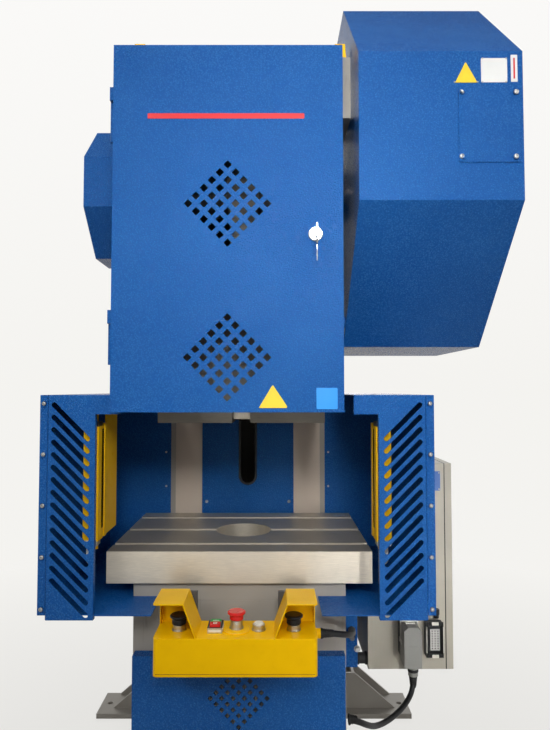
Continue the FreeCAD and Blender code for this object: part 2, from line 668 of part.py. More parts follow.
bolster = body("bolster_plate")
HALF_BOLSTER = "(bolster_width / 2)"
pad(bolster, "Z", "table_top", BOLSTER_TOP,
    rectangle(mirror_text(HALF_BOLSTER), f"{RAM_Y} - bolster_depth / 2", HALF_BOLSTER,
              f"{RAM_Y} + bolster_depth / 2"),
    circle("0", RAM_Y, "bolster_bore"))
for offset in ("- tee_pitch", "", "+ tee_pitch"):
    line = f"({RAM_Y} {offset})"
    FOOT_LOW = f"({BOLSTER_TOP} - tee_depth)"
    FOOT_HIGH = f"({FOOT_LOW} + tee_foot_height)"
    pocket(bolster, "X", mirror_text(HALF_BOLSTER), HALF_BOLSTER, polygon(
        (f"{line} - tee_foot / 2", FOOT_LOW), (f"{line} + tee_foot / 2", FOOT_LOW),
        (f"{line} + tee_foot / 2", FOOT_HIGH), (f"{line} + tee_neck / 2", FOOT_HIGH),
        (f"{line} + tee_neck / 2", BOLSTER_TOP), (f"{line} - tee_neck / 2", BOLSTER_TOP),
        (f"{line} - tee_neck / 2", FOOT_HIGH), (f"{line} - tee_foot / 2", FOOT_HIGH)))

lug = body("lug")
LUG_Y = f"({BROW_Y} + 55)"
pad(lug, "X", SIDE_IN, SIDE_OUT, polygon(
    (LUG_Y, "head_top"), (f"{LUG_Y} + lug_length", "head_top"),
    (f"{LUG_Y} + lug_length - 40", "head_top + lug_height"),
    (f"{LUG_Y} + 40", "head_top + lug_height")),
    circle(f"{LUG_Y} + lug_length / 2", "head_top + lug_height - 40", "lug_hole_rad"))
lug_twin = mirrored("lug_twin", lug)
joined("lifting_lugs", lug, lug_twin)

CAM_Z = "(crank_height + crank_throw)"
crank = turned("crank", ("0", RAM_Y, "crank_height"), "X", (
    ("0", "-shaft_left_end"), ("shaft_left_rad", "-shaft_left_end"), ("shaft_left_rad", "-265"),
    ("journal_rad", "-265"), ("journal_rad", "265"), ("shaft_right_rad", "265"),
    ("shaft_right_rad", "shaft_right_end"), ("0", "shaft_right_end")))
drum = turned("eccentric_drum", ("0", RAM_Y, CAM_Z), "X", (
    ("0", "-strap_width / 2 - 2"), ("eccentric_rad", "-strap_width / 2 - 2"),
    ("eccentric_rad", "strap_width / 2 + 2"), ("0", "strap_width / 2 + 2")))
joined("crankshaft", crank, drum, fuse=True)

BORE = "(journal_rad + run_clear)"
bearing = turned("main_bearing", ("0", RAM_Y, "crank_height"), "X", (
    (BORE, "200"), ("bearing_rad - 0.2", "200"), ("bearing_rad - 0.2", f"{SIDE_IN} - 12"),
    ("bearing_flange", f"{SIDE_IN} - 12"), ("bearing_flange", SIDE_IN),
    ("bearing_rad - 0.2", SIDE_IN), ("bearing_rad - 0.2", f"{SIDE_OUT} + bearing_stand"),
    (BORE, f"{SIDE_OUT} + bearing_stand")))
bearing_twin = mirrored("main_bearing_twin", bearing)
joined("main_bearings", bearing, bearing_twin)

rod = body("connecting_rod")
STRAP = "(eccentric_rad + strap_wall)"
pad(rod, "X", "-strap_width / 2", "strap_width / 2", circle(RAM_Y, CAM_Z, STRAP))
pad(rod, "X", "-rod_thick / 2", "rod_thick / 2", polygon(
    (f"{RAM_Y} - rod_foot / 2", "rod_low"), (f"{RAM_Y} + rod_foot / 2", "rod_low"),
    (f"{RAM_Y} + rod_shoulder", CAM_Z), (f"{RAM_Y} - rod_shoulder", CAM_Z)))
pocket(rod, "X", "-strap_width / 2", "strap_width / 2",
       circle(RAM_Y, CAM_Z, "eccentric_rad + run_clear"))
pocket(rod, "Z", "rod_low", "rod_low + screw_depth + 2", circle("0", RAM_Y, "screw_rad + run_clear"))

screw = turned("screw_stem", ("0", RAM_Y, "0"), "Z", (
    ("0", "ball_height"), ("screw_rad - 6", "ball_height"),
    ("screw_rad - 6", "rod_low - locknut_height - 8"),
    ("screw_rad", "rod_low - locknut_height - 8"), ("screw_rad", "rod_low + screw_depth"),
    ("0", "rod_low + screw_depth")), (
    ("screw_rad - 2", "rod_low - locknut_height - 0.3"),
    ("locknut_rad", "rod_low - locknut_height - 0.3"), ("locknut_rad", "rod_low - 0.3"),
    ("screw_rad - 2", "rod_low - 0.3")))
ball = doc.addObject("Part::Sphere", "ball")
bind(ball, "Radius", "ball_rad")
bind(ball, "Placement.Base.y", RAM_Y)
bind(ball, "Placement.Base.z", "ball_height")
joined("rod_screw", screw, ball, fuse=True)

RAM_BODY = "(ram_low + ram_flange_thick)"
HALF_RAM = "(ram_width / 2)"
VEE = "(vee_width / 2)"
ram = body("ram")
pad(ram, "Z", RAM_BODY, RAM_TOP, polygon(
    (mirror_text(HALF_RAM), f"{RAM_Y} - ram_depth / 2"), (HALF_RAM, f"{RAM_Y} - ram_depth / 2"),
    (HALF_RAM, f"{RAM_Y} - {VEE}"), (f"{HALF_RAM} + vee_height", RAM_Y),
    (HALF_RAM, f"{RAM_Y} + {VEE}"), (HALF_RAM, f"{RAM_Y} + ram_depth / 2"),
    (mirror_text(HALF_RAM), f"{RAM_Y} + ram_depth / 2"),
    (mirror_text(HALF_RAM), f"{RAM_Y} + {VEE}"), (f"-{HALF_RAM} - vee_height", RAM_Y),
    (mirror_text(HALF_RAM), f"{RAM_Y} - {VEE}")))
pad(ram, "Z", "ram_low", RAM_BODY, rectangle("-ram_flange_width / 2", f"{RAM_Y} - ram_depth / 2",
                                             "ram_flange_width / 2", f"{RAM_Y} + ram_depth / 2"))
pocket(ram, "Z", "pocket_low", RAM_TOP, rectangle(
    "-pocket_width / 2", f"{RAM_Y} - pocket_depth / 2", "pocket_width / 2",
    f"{RAM_Y} + pocket_depth / 2"))
pocket(ram, "Z", "ram_low", "ram_low + notch_height", rectangle(
    "-notch_width / 2", f"{RAM_Y} - ram_depth / 2", "notch_width / 2", RAM_Y))
pocket(ram, "Z", "ram_low", "ram_low + notch_height", circle("0", RAM_Y, "shank_rad"))

shank_clamp = body("shank_clamp")
CLAMP_Y = f"({RAM_Y} - ram_depth / 2 + clamp_inset)"
pad(shank_clamp, "Z", "ram_low + 8", "ram_low + notch_height - 0.3", rectangle(
    "-notch_width / 2 + 0.3", CLAMP_Y, "notch_width / 2 - 0.3", f"{CLAMP_Y} + clamp_length"))
pocket(shank_clamp, "Z", "ram_low + 8", "ram_low + notch_height - 0.3",
       circle("0", RAM_Y, "shank_rad"))

gib = body("gib")
GIB_FACE = f"({HALF_RAM} + gib_clear)"
pad(gib, "Z", f"{RAM_BODY} + gib_drop", "gib_top", polygon(
    (SIDE_IN, f"{RAM_Y} - gib_depth / 2"), (SIDE_IN, f"{RAM_Y} + gib_depth / 2"),
    (GIB_FACE, f"{RAM_Y} + gib_depth / 2"), (GIB_FACE, f"{RAM_Y} + {VEE}"),
    (f"{GIB_FACE} + vee_height", RAM_Y), (GIB_FACE, f"{RAM_Y} - {VEE}"),
    (GIB_FACE, f"{RAM_Y} - gib_depth / 2")))
gib_twin = mirrored("gib_twin", gib)
joined("gibs", gib, gib_twin)

NEAR = "flywheel_near"
FAR = "(flywheel_near + flywheel_width)"
RIM_IN = "(flywheel_rad - flywheel_rim)"
WEB = "(flywheel_near + (flywheel_width - flywheel_web) / 2)"
BELT_MIDDLE = "(flywheel_near + flywheel_width / 2)"
rim = [("shaft_right_rad + run_clear", NEAR), ("flywheel_hub", NEAR), ("flywheel_hub", WEB),
       (RIM_IN, WEB), (RIM_IN, NEAR), ("flywheel_rad", NEAR)]
for offset in ("- belt_pitch", "", "+ belt_pitch"):
    centre = f"({BELT_MIDDLE} {offset})"
    rim += [("flywheel_rad", f"{centre} - 7.5"),
            ("flywheel_rad - groove_depth - 0.5", f"{centre} - 7.5"),
            ("flywheel_rad - groove_depth - 0.5", f"{centre} + 7.5"),
            ("flywheel_rad", f"{centre} + 7.5")]
rim += [("flywheel_rad", FAR), (RIM_IN, FAR), (RIM_IN, f"{WEB} + flywheel_web"),
        ("flywheel_hub", f"{WEB} + flywheel_web"), ("flywheel_hub", FAR),
        ("shaft_right_rad + run_clear", FAR)]
turned("flywheel", ("0", RAM_Y, "crank_height"), "X", rim)

CLUTCH = f"({FAR} + 2)"
turned("clutch_unit", ("0", RAM_Y, "crank_height"), "X", (
    ("shaft_right_rad + run_clear", CLUTCH), ("clutch_rad", CLUTCH),
    ("clutch_rad", f"{CLUTCH} + clutch_width - 60"),
    ("clutch_rad - 20", f"{CLUTCH} + clutch_width - 60"),
    ("clutch_rad - 20", f"{CLUTCH} + clutch_width - 28"),
    ("clutch_rad - 60", f"{CLUTCH} + clutch_width - 28"),
    ("clutch_rad - 60", f"{CLUTCH} + clutch_width"),
    ("shaft_right_rad + run_clear", f"{CLUTCH} + clutch_width")))
turned("brake_drum", ("0", RAM_Y, "crank_height"), "X", (
    ("shaft_left_rad + run_clear", "-brake_near - brake_width"),
    ("60", "-brake_near - brake_width"), ("60", "-brake_near - brake_width + 25"),
    ("brake_rad", "-brake_near - brake_width + 25"), ("brake_rad", "-brake_near"),
    ("shaft_left_rad + run_clear", "-brake_near")))

motor = turned("motor_barrel", ("0", MOTOR_Y, "motor_height"), "X", (
    ("0", "-motor_left"), ("motor_rad - 8", "-motor_left"), ("motor_rad", "-motor_left + 8"),
    ("motor_rad", "-motor_left + 70"), ("motor_rad - 8", "-motor_left + 70"),
    ("motor_rad - 8", "motor_right - 50"), ("motor_rad", "motor_right - 50"),
    ("motor_rad", "motor_right - 12"), ("60", "motor_right - 12"), ("60", "motor_right"),
    ("0", "motor_right")))
motor_feet = body("motor_feet")
pad(motor_feet, "X", "-110", "140", rectangle(f"{MOTOR_Y} - 80", "head_top",
                                              f"{MOTOR_Y} + 80", "motor_height - 70"))
pad(motor_feet, "X", "-40", "60", rectangle(f"{MOTOR_Y} - 45", "motor_height + 60",
                                            f"{MOTOR_Y} + 45", "motor_height + 116"))
joined("motor", motor, motor_feet, fuse=True)

PULLEY = f"({BELT_MIDDLE} - pulley_width / 2)"
grooved = [("0", "motor_right + 0.3"), ("motor_shaft_rad", "motor_right + 0.3"),
           ("motor_shaft_rad", PULLEY), ("pulley_rad", PULLEY)]
for offset in ("- belt_pitch", "", "+ belt_pitch"):
    centre = f"({BELT_MIDDLE} {offset})"
    grooved += [("pulley_rad", f"{centre} - 7.5"),
                ("pulley_rad - groove_depth - 0.5", f"{centre} - 7.5"),
                ("pulley_rad - groove_depth - 0.5", f"{centre} + 7.5"),
                ("pulley_rad", f"{centre} + 7.5")]
grooved += [("pulley_rad", f"{PULLEY} + pulley_width"), ("0", f"{PULLEY} + pulley_width")]
turned("motor_pulley", ("0", MOTOR_Y, "motor_height"), "X", grooved)


def belt(label, offset):
    """A V-belt: the band between two offsets of the outline round both pulleys."""
    made = body(label)
    centre_big = (RAM_Y, "crank_height")
    centre_small = (MOTOR_Y, "motor_height")
    low = f"{BELT_MIDDLE} {offset} - belt_width / 2"
    high = f"{BELT_MIDDLE} {offset} + belt_width / 2"
    big_in = "(flywheel_rad - groove_depth)"
    small_in = "(pulley_rad - groove_depth)"
    pad(made, "X", low, high, belt_loop(centre_big, f"{big_in} + belt_thick", centre_small,
                                        f"{small_in} + belt_thick"),
        belt_loop(centre_big, big_in, centre_small, small_in))
    return made


joined("v_belts", *(belt(f"v_belt_{name}", offset) for name, offset in
                    (("near", "- belt_pitch"), ("middle", "+ 0"), ("far", "+ belt_pitch"))))


def tray(label, axis, low, high, left, bottom, right, top, open_low=False):
    """A folded sheet box: a face at one end of [low, high] with four walls, open at the other."""
    made = body(label)
    pad(made, axis, low, high, rectangle(left, bottom, right, top))
    inner = (low, f"{high} - sheet_thick") if open_low else (f"{low} + sheet_thick", high)
    pocket(made, axis, *inner, rectangle(
        f"{left} + sheet_thick", f"{bottom} + sheet_thick", f"{right} - sheet_thick",
        f"{top} - sheet_thick"))
    return made


def vent(owner, low, high, across, up, step, hole):
    """A field of square holes set on a corner, through a sheet that faces the front."""
    drawn = owner.newObject("Sketcher::SketchObject", f"{owner.Label}_vent")
    drawn.AttachmentSupport = [(plane_of(owner, "XZ_Plane"), "")]
    drawn.MapMode = "FlatFace"
    drawn.AttachmentOffset = FreeCAD.Placement(
        FreeCAD.Vector(), FreeCAD.Rotation(FreeCAD.Vector(0, 0, 1), 45))
    for letter, text in (("x", across), ("y", up), ("z", mirror_text(high))):
        bind(drawn, f"AttachmentOffset.Base.{letter}", text)
    start = f"(-{step} * (vent_count - 1) / 2)"
    rectangle(f"{start} - {hole} / 2", f"{start} - {hole} / 2", f"{start} + {hole} / 2",
              f"{start} + {hole} / 2")(drawn)
    cut = owner.newObject("PartDesign::Pocket", f"{owner.Label}_vent_hole")
    cut.Profile = drawn
    cut.Reversed = True
    bind(cut, "Length", f"({high}) - ({low})")
    rows = owner.newObject("PartDesign::LinearPattern", f"{owner.Label}_vent_rows")
    rows.Originals = [cut]
    rows.Direction = (drawn, ["H_Axis"])
    rows.Direction2 = (drawn, ["V_Axis"])
    for tail in ("", "2"):
        bind(rows, f"Length{tail}", f"{step} * (vent_count - 1)")
        bind(rows, f"Occurrences{tail}", "vent_count")
    owner.Tip = rows


lower_cover = tray("lower_cover", "Y", f"{FRONT} - cover_thick", FRONT, f"-{SIDE_OUT} + 5",
                   "cover_low", f"{SIDE_OUT} - 5", "cover_high")
vent(lower_cover, f"{FRONT} - cover_thick - 1", f"{FRONT} - cover_thick + 4", "0", "cover_vent",
     "cover_step", "cover_hole")

DOOR_FACE = f"({BROW_Y} - door_thick)"
HINGE_X = "(-door_left - 8)"
HINGE_Y = f"({BROW_Y} + 5)"
door = tray("front_door", "Y", DOOR_FACE, BROW_Y, "-door_left", "door_low", "door_right",
            "door_high")
for low in ("door_low + 194", "door_low + 694"):
    pad(door, "Z", low, f"{low} + 30", polygon(
        ("-door_left - 12", f"{BROW_Y} - 12"), ("-door_left", f"{BROW_Y} - 12"),
        ("-door_left", f"{BROW_Y} - 0.5"), ("-door_left - 3", f"{BROW_Y} - 0.5"),
        ("-door_left - 3", HINGE_Y), ("-door_left - 12", HINGE_Y)))
    pad(door, "Z", low, f"{low} + 30", circle(HINGE_X, HINGE_Y, "hinge_rad"))
pocket(door, "Y", DOOR_FACE, f"{DOOR_FACE} + sheet_thick", circle("lock_right", "lock_height",
                                                                  "lock_rad + 0.2"))
for height in ("vent_upper", "vent_lower"):
    vent(door, f"{DOOR_FACE} - 1", f"{DOOR_FACE} + 4", "(door_right - door_left) / 2", height,
         "vent_step", "vent_hole")

hinges = []
for name, low in (("lower", "door_low + 194"), ("upper", "door_low + 694")):
    hinge = body(f"hinge_{name}")
    pad(hinge, "Z", f"{low} - hinge_length", f"{low} - 0.3", circle(HINGE_X, HINGE_Y, "hinge_rad"))
    pad(hinge, "Z", f"{low} - hinge_length", f"{low} - 0.3",
        rectangle("-door_left - 3", HINGE_Y, "-door_left", f"{HINGE_Y} + 36"))
    hinges.append(hinge)
joined("door_hinges", *hinges)

door_key = turned("lock_barrel", ("lock_right", f"{DOOR_FACE}", "lock_height"), "Y", (
    ("0", "-6"), ("lock_rad + 3", "-6"), ("lock_rad + 3", "-0.2"), ("lock_rad", "-0.2"),
    ("lock_rad", "16"), ("0", "16")))
key_blade = body("key_blade")
pad(key_blade, "Y", f"{DOOR_FACE} - 40", f"{DOOR_FACE} - 6", rectangle(
    "lock_right - 1.5", "lock_height - 5", "lock_right + 1.5", "lock_height + 5"))
pad(key_blade, "Y", f"{DOOR_FACE} - 48", f"{DOOR_FACE} - 24", rectangle(
    "lock_right - 1.5", "lock_height - 13", "lock_right + 1.5", "lock_height + 13"))
joined("door_key", door_key, key_blade, fuse=True)

head_hood = body("head_hood")
pad(head_hood, "Z", "screen_high + 6", "head_top", polygon(
    ("-door_left", BROW_Y), ("-door_left + 3", BROW_Y),
    ("-door_left + 3", f"{BROW_Y} + hood_depth - 3"), (f"-{SIDE_OUT}",
                                                       f"{BROW_Y} + hood_depth - 3"),
    (f"-{SIDE_OUT}", f"{BROW_Y} + hood_depth"), ("-door_left", f"{BROW_Y} + hood_depth")))


def octagon(front, back, low, high, cut_low, cut_high, inset="0"):
    """A chamfered rectangle seen from the side, moved inwards by inset."""
    less = f"({inset} * (2 - sqrt(2)))"
    front = f"({front} + {inset})"
    back = f"({back} - {inset})"
    low = f"({low} + {inset})"
    high = f"({high} - {inset})"
    return polygon(
        (front, f"{low} + {cut_low} - {less}"), (f"{front} + {cut_low} - {less}", low),
        (f"{back} - {cut_low} + {less}", low), (back, f"{low} + {cut_low} - {less}"),
        (back, f"{high} - {cut_high} + {less}"), (f"{back} - {cut_high} + {less}", high),
        (f"{front} + {cut_high} - {less}", high), (front, f"{high} - {cut_high} + {less}"))


FLY = (f"({RAM_Y} - fly_front)", f"({RAM_Y} - fly_front + fly_length)", "fly_low", "fly_high",
       "fly_cut_low", "fly_cut_high")
fly_guard = body("flywheel_guard")
pad(fly_guard, "X", "fly_left", "fly_right", octagon(*FLY))
pocket(fly_guard, "X", "fly_left + sheet_thick", "fly_right - sheet_thick",
       octagon(*FLY, inset="sheet_thick"))
pocket(fly_guard, "X", "fly_left", "fly_left + sheet_thick",
       circle(RAM_Y, "crank_height", "bearing_flange"), circle(MOTOR_Y, "motor_height", "40"))
for along_y, up_z in ((f"{RAM_Y} - 127", "fly_low + 62"), (f"{MOTOR_Y} - 40", "fly_low + 62"),
                      (f"{RAM_Y} - 127", "head_top - 56"), (f"{RAM_Y} + 333", "head_top - 156")):
    pad(fly_guard, "X", SIDE_OUT, "fly_left", circle(along_y, up_z, "spacer_rad"))

FLY_FACE = f"({RAM_Y} - fly_front)"
PLATE_LEFT = "(fly_right - plate_edge - plate_width)"
access = body("guard_access_plate")
pad(access, "Y", f"{FLY_FACE} - 2", FLY_FACE, rectangle(
    PLATE_LEFT, "plate_middle - plate_height / 2", f"{PLATE_LEFT} + plate_width",
    "plate_middle + plate_height / 2"))
for across in (f"{PLATE_LEFT} + 10", f"{PLATE_LEFT} + plate_width - 10"):
    for up in ("plate_middle - plate_height / 2 + 10", "plate_middle + plate_height / 2 - 10"):
        pad(access, "Y", f"{FLY_FACE} - 5", f"{FLY_FACE} - 2", circle(across, up, "4.5"))

BRAKE = (f"({RAM_Y} + brake_back - brake_size / 2)", f"({RAM_Y} + brake_back + brake_size / 2)",
         "(crank_height - brake_drop - brake_size / 2)",
         "(crank_height - brake_drop + brake_size / 2)", "brake_cut", "brake_cut")
brake_guard = body("brake_guard")
pad(brake_guard, "X", "-brake_seam", f"-{SIDE_OUT}", octagon(*BRAKE))
pocket(brake_guard, "X", "-brake_seam", f"-{SIDE_OUT}", octagon(*BRAKE, inset="sheet_thick"))
brake_lid = body("brake_guard_lid")
pad(brake_lid, "X", "-brake_out", "-brake_seam", octagon(*BRAKE))
pocket(brake_lid, "X", "-brake_out + sheet_thick", "-brake_seam",
       octagon(*BRAKE, inset="sheet_thick"))

PANEL_BACK = f"({SCREEN_Y} + sheet_thick)"
FLANGE_Y = f"({SCREEN_Y} + screen_step)"
FLANGE_IN = "(screen_outer - screen_flange)"
panel = body("guard_panel")
pad(panel, "Z", "screen_low", "screen_high", polygon(
    ("screen_inner", f"{SCREEN_Y} + screen_return"), ("screen_inner", SCREEN_Y),
    (f"{FLANGE_IN} - 3", SCREEN_Y), (f"{FLANGE_IN} + 1", FLANGE_Y), ("screen_outer", FLANGE_Y),
    ("screen_outer", f"{FLANGE_Y} + sheet_thick"), (FLANGE_IN, f"{FLANGE_Y} + sheet_thick"),
    (f"{FLANGE_IN} - 4", PANEL_BACK), ("screen_inner + sheet_thick", PANEL_BACK),
    ("screen_inner + sheet_thick", f"{SCREEN_Y} + screen_return")))
pad(panel, "Y", SCREEN_Y, PANEL_BACK, rectangle("lintel_inner", "screen_high - lintel_height",
                                                "screen_inner", "screen_high"))
SLIT_LAST = "(slit_top - slit_pitch * (slit_count - 1))"
pocket(panel, "Y", f"{SCREEN_Y} - 1", f"{PANEL_BACK} + 1", obround(
    "slit_outer - slit_rise", f"{SLIT_LAST} - slit_rise", "slit_outer", SLIT_LAST, "slit_rad"))
slit = panel.Tip
slits = panel.newObject("PartDesign::LinearPattern", "guard_slits")
slits.Originals = [slit]
slits.Direction = (plane_of(panel, "Z_Axis"), [""])
bind(slits, "Length", "slit_pitch * (slit_count - 1)")
bind(slits, "Occurrences", "slit_count")
panel.Tip = slits
pocket(panel, "Z", "screen_low", "screen_low + flange_rise", rectangle(
    FLANGE_IN, f"{SCREEN_Y} - 1", "screen_outer + 1", f"{PANEL_BACK} + 10"))
for place in range(5):
    pad(panel, "Y", f"{FLANGE_Y} - 3", FLANGE_Y, circle(
        "screen_outer - 8", f"screen_low + 22 + {place} * 112.5", "5"))
panel.Label = "guard_panel_right"
mirrored("guard_panel_left", panel)

box = body("guard_box_right")
BOX_FRONT = f"({SCREEN_Y} + 3)"
NOTCH_Y = f"({SCREEN_Y} + screen_return + 0.2)"
BOX_FACE = f"({FLANGE_Y} + sheet_thick)"
notch = [("screen_inner - 0.3", BOX_FRONT), ("screen_inner - 0.3", NOTCH_Y),
         ("screen_inner + sheet_thick + 0.3", NOTCH_Y),
         ("screen_inner + sheet_thick + 0.3", BOX_FACE), ("screen_outer", BOX_FACE),
         ("screen_outer", THROAT_Y)]
SHELF_LOW = "(screen_low + shelf_rise)"
pad(box, "Z", SHELF_LOW, f"{SHELF_LOW} + sheet_thick", polygon(
    ("shelf_inner", BOX_FRONT), *notch, (f"{SIDE_OUT} + 0.5", THROAT_Y),
    (f"{SIDE_OUT} + 0.5", f"{FRONT} - 0.3"), ("shelf_inner", f"{FRONT} - 0.3")))
pad(box, "Z", f"{SHELF_LOW} + sheet_thick", "screen_high", rectangle(
    "screen_outer - sheet_thick", BOX_FACE, "screen_outer", THROAT_Y))
pad(box, "Z", f"{SHELF_LOW} + sheet_thick", "screen_high", rectangle(
    f"{SIDE_OUT} + 0.5", f"{THROAT_Y} - sheet_thick", "screen_outer", THROAT_Y))
pad(box, "Z", "table_top + 1", "throat_top - throat_round", rectangle(
    f"{SIDE_OUT} - 10", f"{THROAT_Y} - sheet_thick", f"{SIDE_OUT} + 5", THROAT_Y))
pad(box, "Z", "screen_high - sheet_thick", "screen_high", polygon(
    ("lintel_inner + 2", BOX_FRONT), *notch, ("lintel_inner + 2", THROAT_Y)))
mirrored("guard_box_left", box)

curtain = body("light_curtain_right")
CURTAIN_Y = f"({SCREEN_Y} + curtain_front)"
CURTAIN_END = f"({CURTAIN_Y} + curtain_depth)"
CURTAIN_OUT = "(curtain_inner + curtain_width)"
pad(curtain, "Z", "curtain_low", "curtain_high", polygon(
    ("curtain_inner", CURTAIN_Y), (CURTAIN_OUT, CURTAIN_Y), (CURTAIN_OUT, CURTAIN_END),
    ("curtain_inner", CURTAIN_END), ("curtain_inner", f"{CURTAIN_END} - 17"),
    ("curtain_inner + 6", f"{CURTAIN_END} - 17"), ("curtain_inner + 6", f"{CURTAIN_END} - 29"),
    ("curtain_inner", f"{CURTAIN_END} - 29")))
for low, high, radius in (("curtain_high", "screen_high - sheet_thick", "6"),
                          ("curtain_low - 24", "curtain_low", "8")):
    pad(curtain, "Z", low, high, circle("curtain_inner + curtain_width / 2",
                                        f"{CURTAIN_Y} + curtain_depth / 2", radius))
mirrored("light_curtain_left", curtain)

curtain_plates = body("curtain_plates")
pad(curtain_plates, "Z", "curtain_low + 1", "screen_high - sheet_thick", rectangle(
    "-curtain_inner - 2 - curtain_post_width", CURTAIN_END, "-curtain_inner - 2",
    f"{CURTAIN_END} + curtain_post_leg"))

HALF_CONSOLE = "(console_width / 2)"
CONSOLE_LOW = "(console_top - console_height)"
SHROUD_TOP = "(console_top + shroud_height)"
console = body("console_body")
pad(console, "Z", CONSOLE_LOW, "console_top", rectangle(mirror_text(HALF_CONSOLE), CONSOLE_Y,
                                                        HALF_CONSOLE, CONSOLE_BACK))
fillet(console, "10", lambda edge: along("Z", y=CONSOLE_Y)(edge))
pocket(console, "Z", CONSOLE_LOW, "console_top - sheet_thick", rectangle(
    f"-{HALF_CONSOLE} + sheet_thick", f"{CONSOLE_Y} + 5", f"{HALF_CONSOLE} - sheet_thick",
    f"{CONSOLE_BACK} - sheet_thick"))
for sign in ("", "-1 * "):
    shroud = [("shroud_foot_in", "console_top"), ("shroud_foot_in + 2.7", "console_top"),
              ("shroud_top_in + 1.8", f"{SHROUD_TOP} - sheet_thick"),
              (HALF_CONSOLE, f"{SHROUD_TOP} - sheet_thick"), (HALF_CONSOLE, SHROUD_TOP),
              ("shroud_top_in", SHROUD_TOP)]
    wall = [("shroud_foot_in", "console_top"), (HALF_CONSOLE, "console_top"),
            (HALF_CONSOLE, SHROUD_TOP), ("shroud_top_in", SHROUD_TOP)]
    pad(console, "Y", CONSOLE_Y, CONSOLE_BACK, polygon(
        *((f"{sign}({across})", up) for across, up in shroud)))
    pad(console, "Y", f"{CONSOLE_BACK} - sheet_thick", CONSOLE_BACK, polygon(
        *((f"{sign}({across})", up) for across, up in wall)))
    flange = [(f"{HALF_CONSOLE} - sheet_thick", f"{CONSOLE_BACK} - shroud_lip"),
              (HALF_CONSOLE, f"{CONSOLE_BACK} - shroud_lip"), (HALF_CONSOLE, CONSOLE_BACK),
              (f"{HALF_CONSOLE} - sheet_thick", CONSOLE_BACK)]
    pad(console, "Z", "console_top", SHROUD_TOP, polygon(
        *((f"{sign}({across})", back) for across, back in flange)))
pad(console, "X", HALF_CONSOLE, f"{HALF_CONSOLE} + 12", circle(
    f"{CONSOLE_Y} + 82", "console_top - 21", "gland_rad - 3"))
ROOF = f"{SHROUD_TOP} - sheet_thick / 2"
for side in (HALF_CONSOLE, mirror_text(HALF_CONSOLE)):
    fillet(console, "6", along("Z", x=side, y=CONSOLE_Y, z=ROOF))

bracket = body("console_bracket_right")
pad(bracket, "Y", CONSOLE_BACK, f"{CONSOLE_BACK} + 6", rectangle(
    "92", f"{CONSOLE_LOW} + 16", "138", f"{SHROUD_TOP} - 6"))
pad(bracket, "Y", f"{CONSOLE_BACK} + 6", FRONT, rectangle(
    "92", f"{CONSOLE_LOW} + 16", "92 + arm_width", f"{CONSOLE_LOW} + 56"))
bracket_twin = mirrored("console_bracket_left", bracket)
joined("console_brackets", bracket, bracket_twin)

BUTTON_Y = f"({CONSOLE_Y} + console_depth / 2)"
PILOT_LEFT = "(-pilot_offset + 3)"


def button(label, across, back, foot, *outline):
    """A button turned about its own axis. foot is its stem's lower end above the console."""
    turned(label, (across, back, "console_top"), "Z", (("0", foot), *outline))


def mushroom(skirt, rim, crown):
    """A mushroom head's outline: its skirt slides over the collar as it is pressed."""
    return (("stem_rad", "6"), ("stem_rad", f"{skirt} + 3.5"),
            ("collar_rad + 0.3", f"{skirt} + 3.5"), ("collar_rad + 0.3", skirt),
            ("collar_rad + 1.5", skirt), ("collar_rad + 1.5", f"{rim} - 4"),
            ("palm_rad", rim), ("palm_rad", f"{crown} - 2"), ("palm_rad - 3", crown),
            ("0", crown))


PALM = mushroom("palm_skirt", "palm_skirt + 15", "palm_crown")
button("palm_button_left", "-palm_offset", BUTTON_Y, "6", *PALM)
button("palm_button_right", "palm_offset", BUTTON_Y, "6", *PALM)
button("emergency_stop", "0", BUTTON_Y, "6",
       *mushroom("stop_skirt", "stop_skirt + 12", "stop_crown"))
button("reset_button", "pilot_offset", BUTTON_Y, "4", ("stem_rad - 1.5", "4"),
       ("stem_rad - 1.5", "16"), ("0", "16"))


def cap_outline(back, grow="0"):
    """The outline of a square cap in the double bezel."""
    return rectangle(f"{PILOT_LEFT} - cap_width / 2 - {grow}", f"{back} - cap_depth / 2 - {grow}",
                     f"{PILOT_LEFT} + cap_width / 2 + {grow}", f"{back} + cap_depth / 2 + {grow}")


CAP_PLACES = (("start_button", f"({BUTTON_Y} + cap_pitch / 2)", "16"),
              ("stop_button", f"({BUTTON_Y} - cap_pitch / 2)", "18"))
for name, back, top in CAP_PLACES:
    cap = body(name)
    pad(cap, "Z", "console_top + 4", f"console_top + {top}", cap_outline(back))
    fillet(cap, "2", along("Z"))

collars = []
for name, across, base, bore, top in (
        ("left", "-palm_offset", "0", "stem_rad", "collar_height"),
        ("right", "palm_offset", "0", "stem_rad", "collar_height"),
        ("stop", "0", "3", "stem_rad", "stop_skirt - palm_skirt + collar_height"),
        ("reset", "pilot_offset", "0", "stem_rad - 1.5", "collar_height")):
    collars.append(turned(f"collar_{name}", (across, BUTTON_Y, "console_top"), "Z", (
        (f"{bore} + 0.2", base), ("collar_rad", base), ("collar_rad", top),
        (f"{bore} + 0.2", top))))
collars.append(turned("stop_disc", ("0", BUTTON_Y, "console_top"), "Z", (
    ("stem_rad + 0.2", "0"), ("disc_rad", "0"), ("disc_rad", "3"), ("stem_rad + 0.2", "3"))))
bezel = body("double_bezel")
pad(bezel, "Z", "console_top", "console_top + collar_height",
    rectangle(f"{PILOT_LEFT} - bezel_width / 2", f"{BUTTON_Y} - bezel_depth / 2",
              f"{PILOT_LEFT} + bezel_width / 2", f"{BUTTON_Y} + bezel_depth / 2"),
    *(cap_outline(back, "0.3") for name, back, top in CAP_PLACES))
collars.append(bezel)
joined("button_collars", *collars)

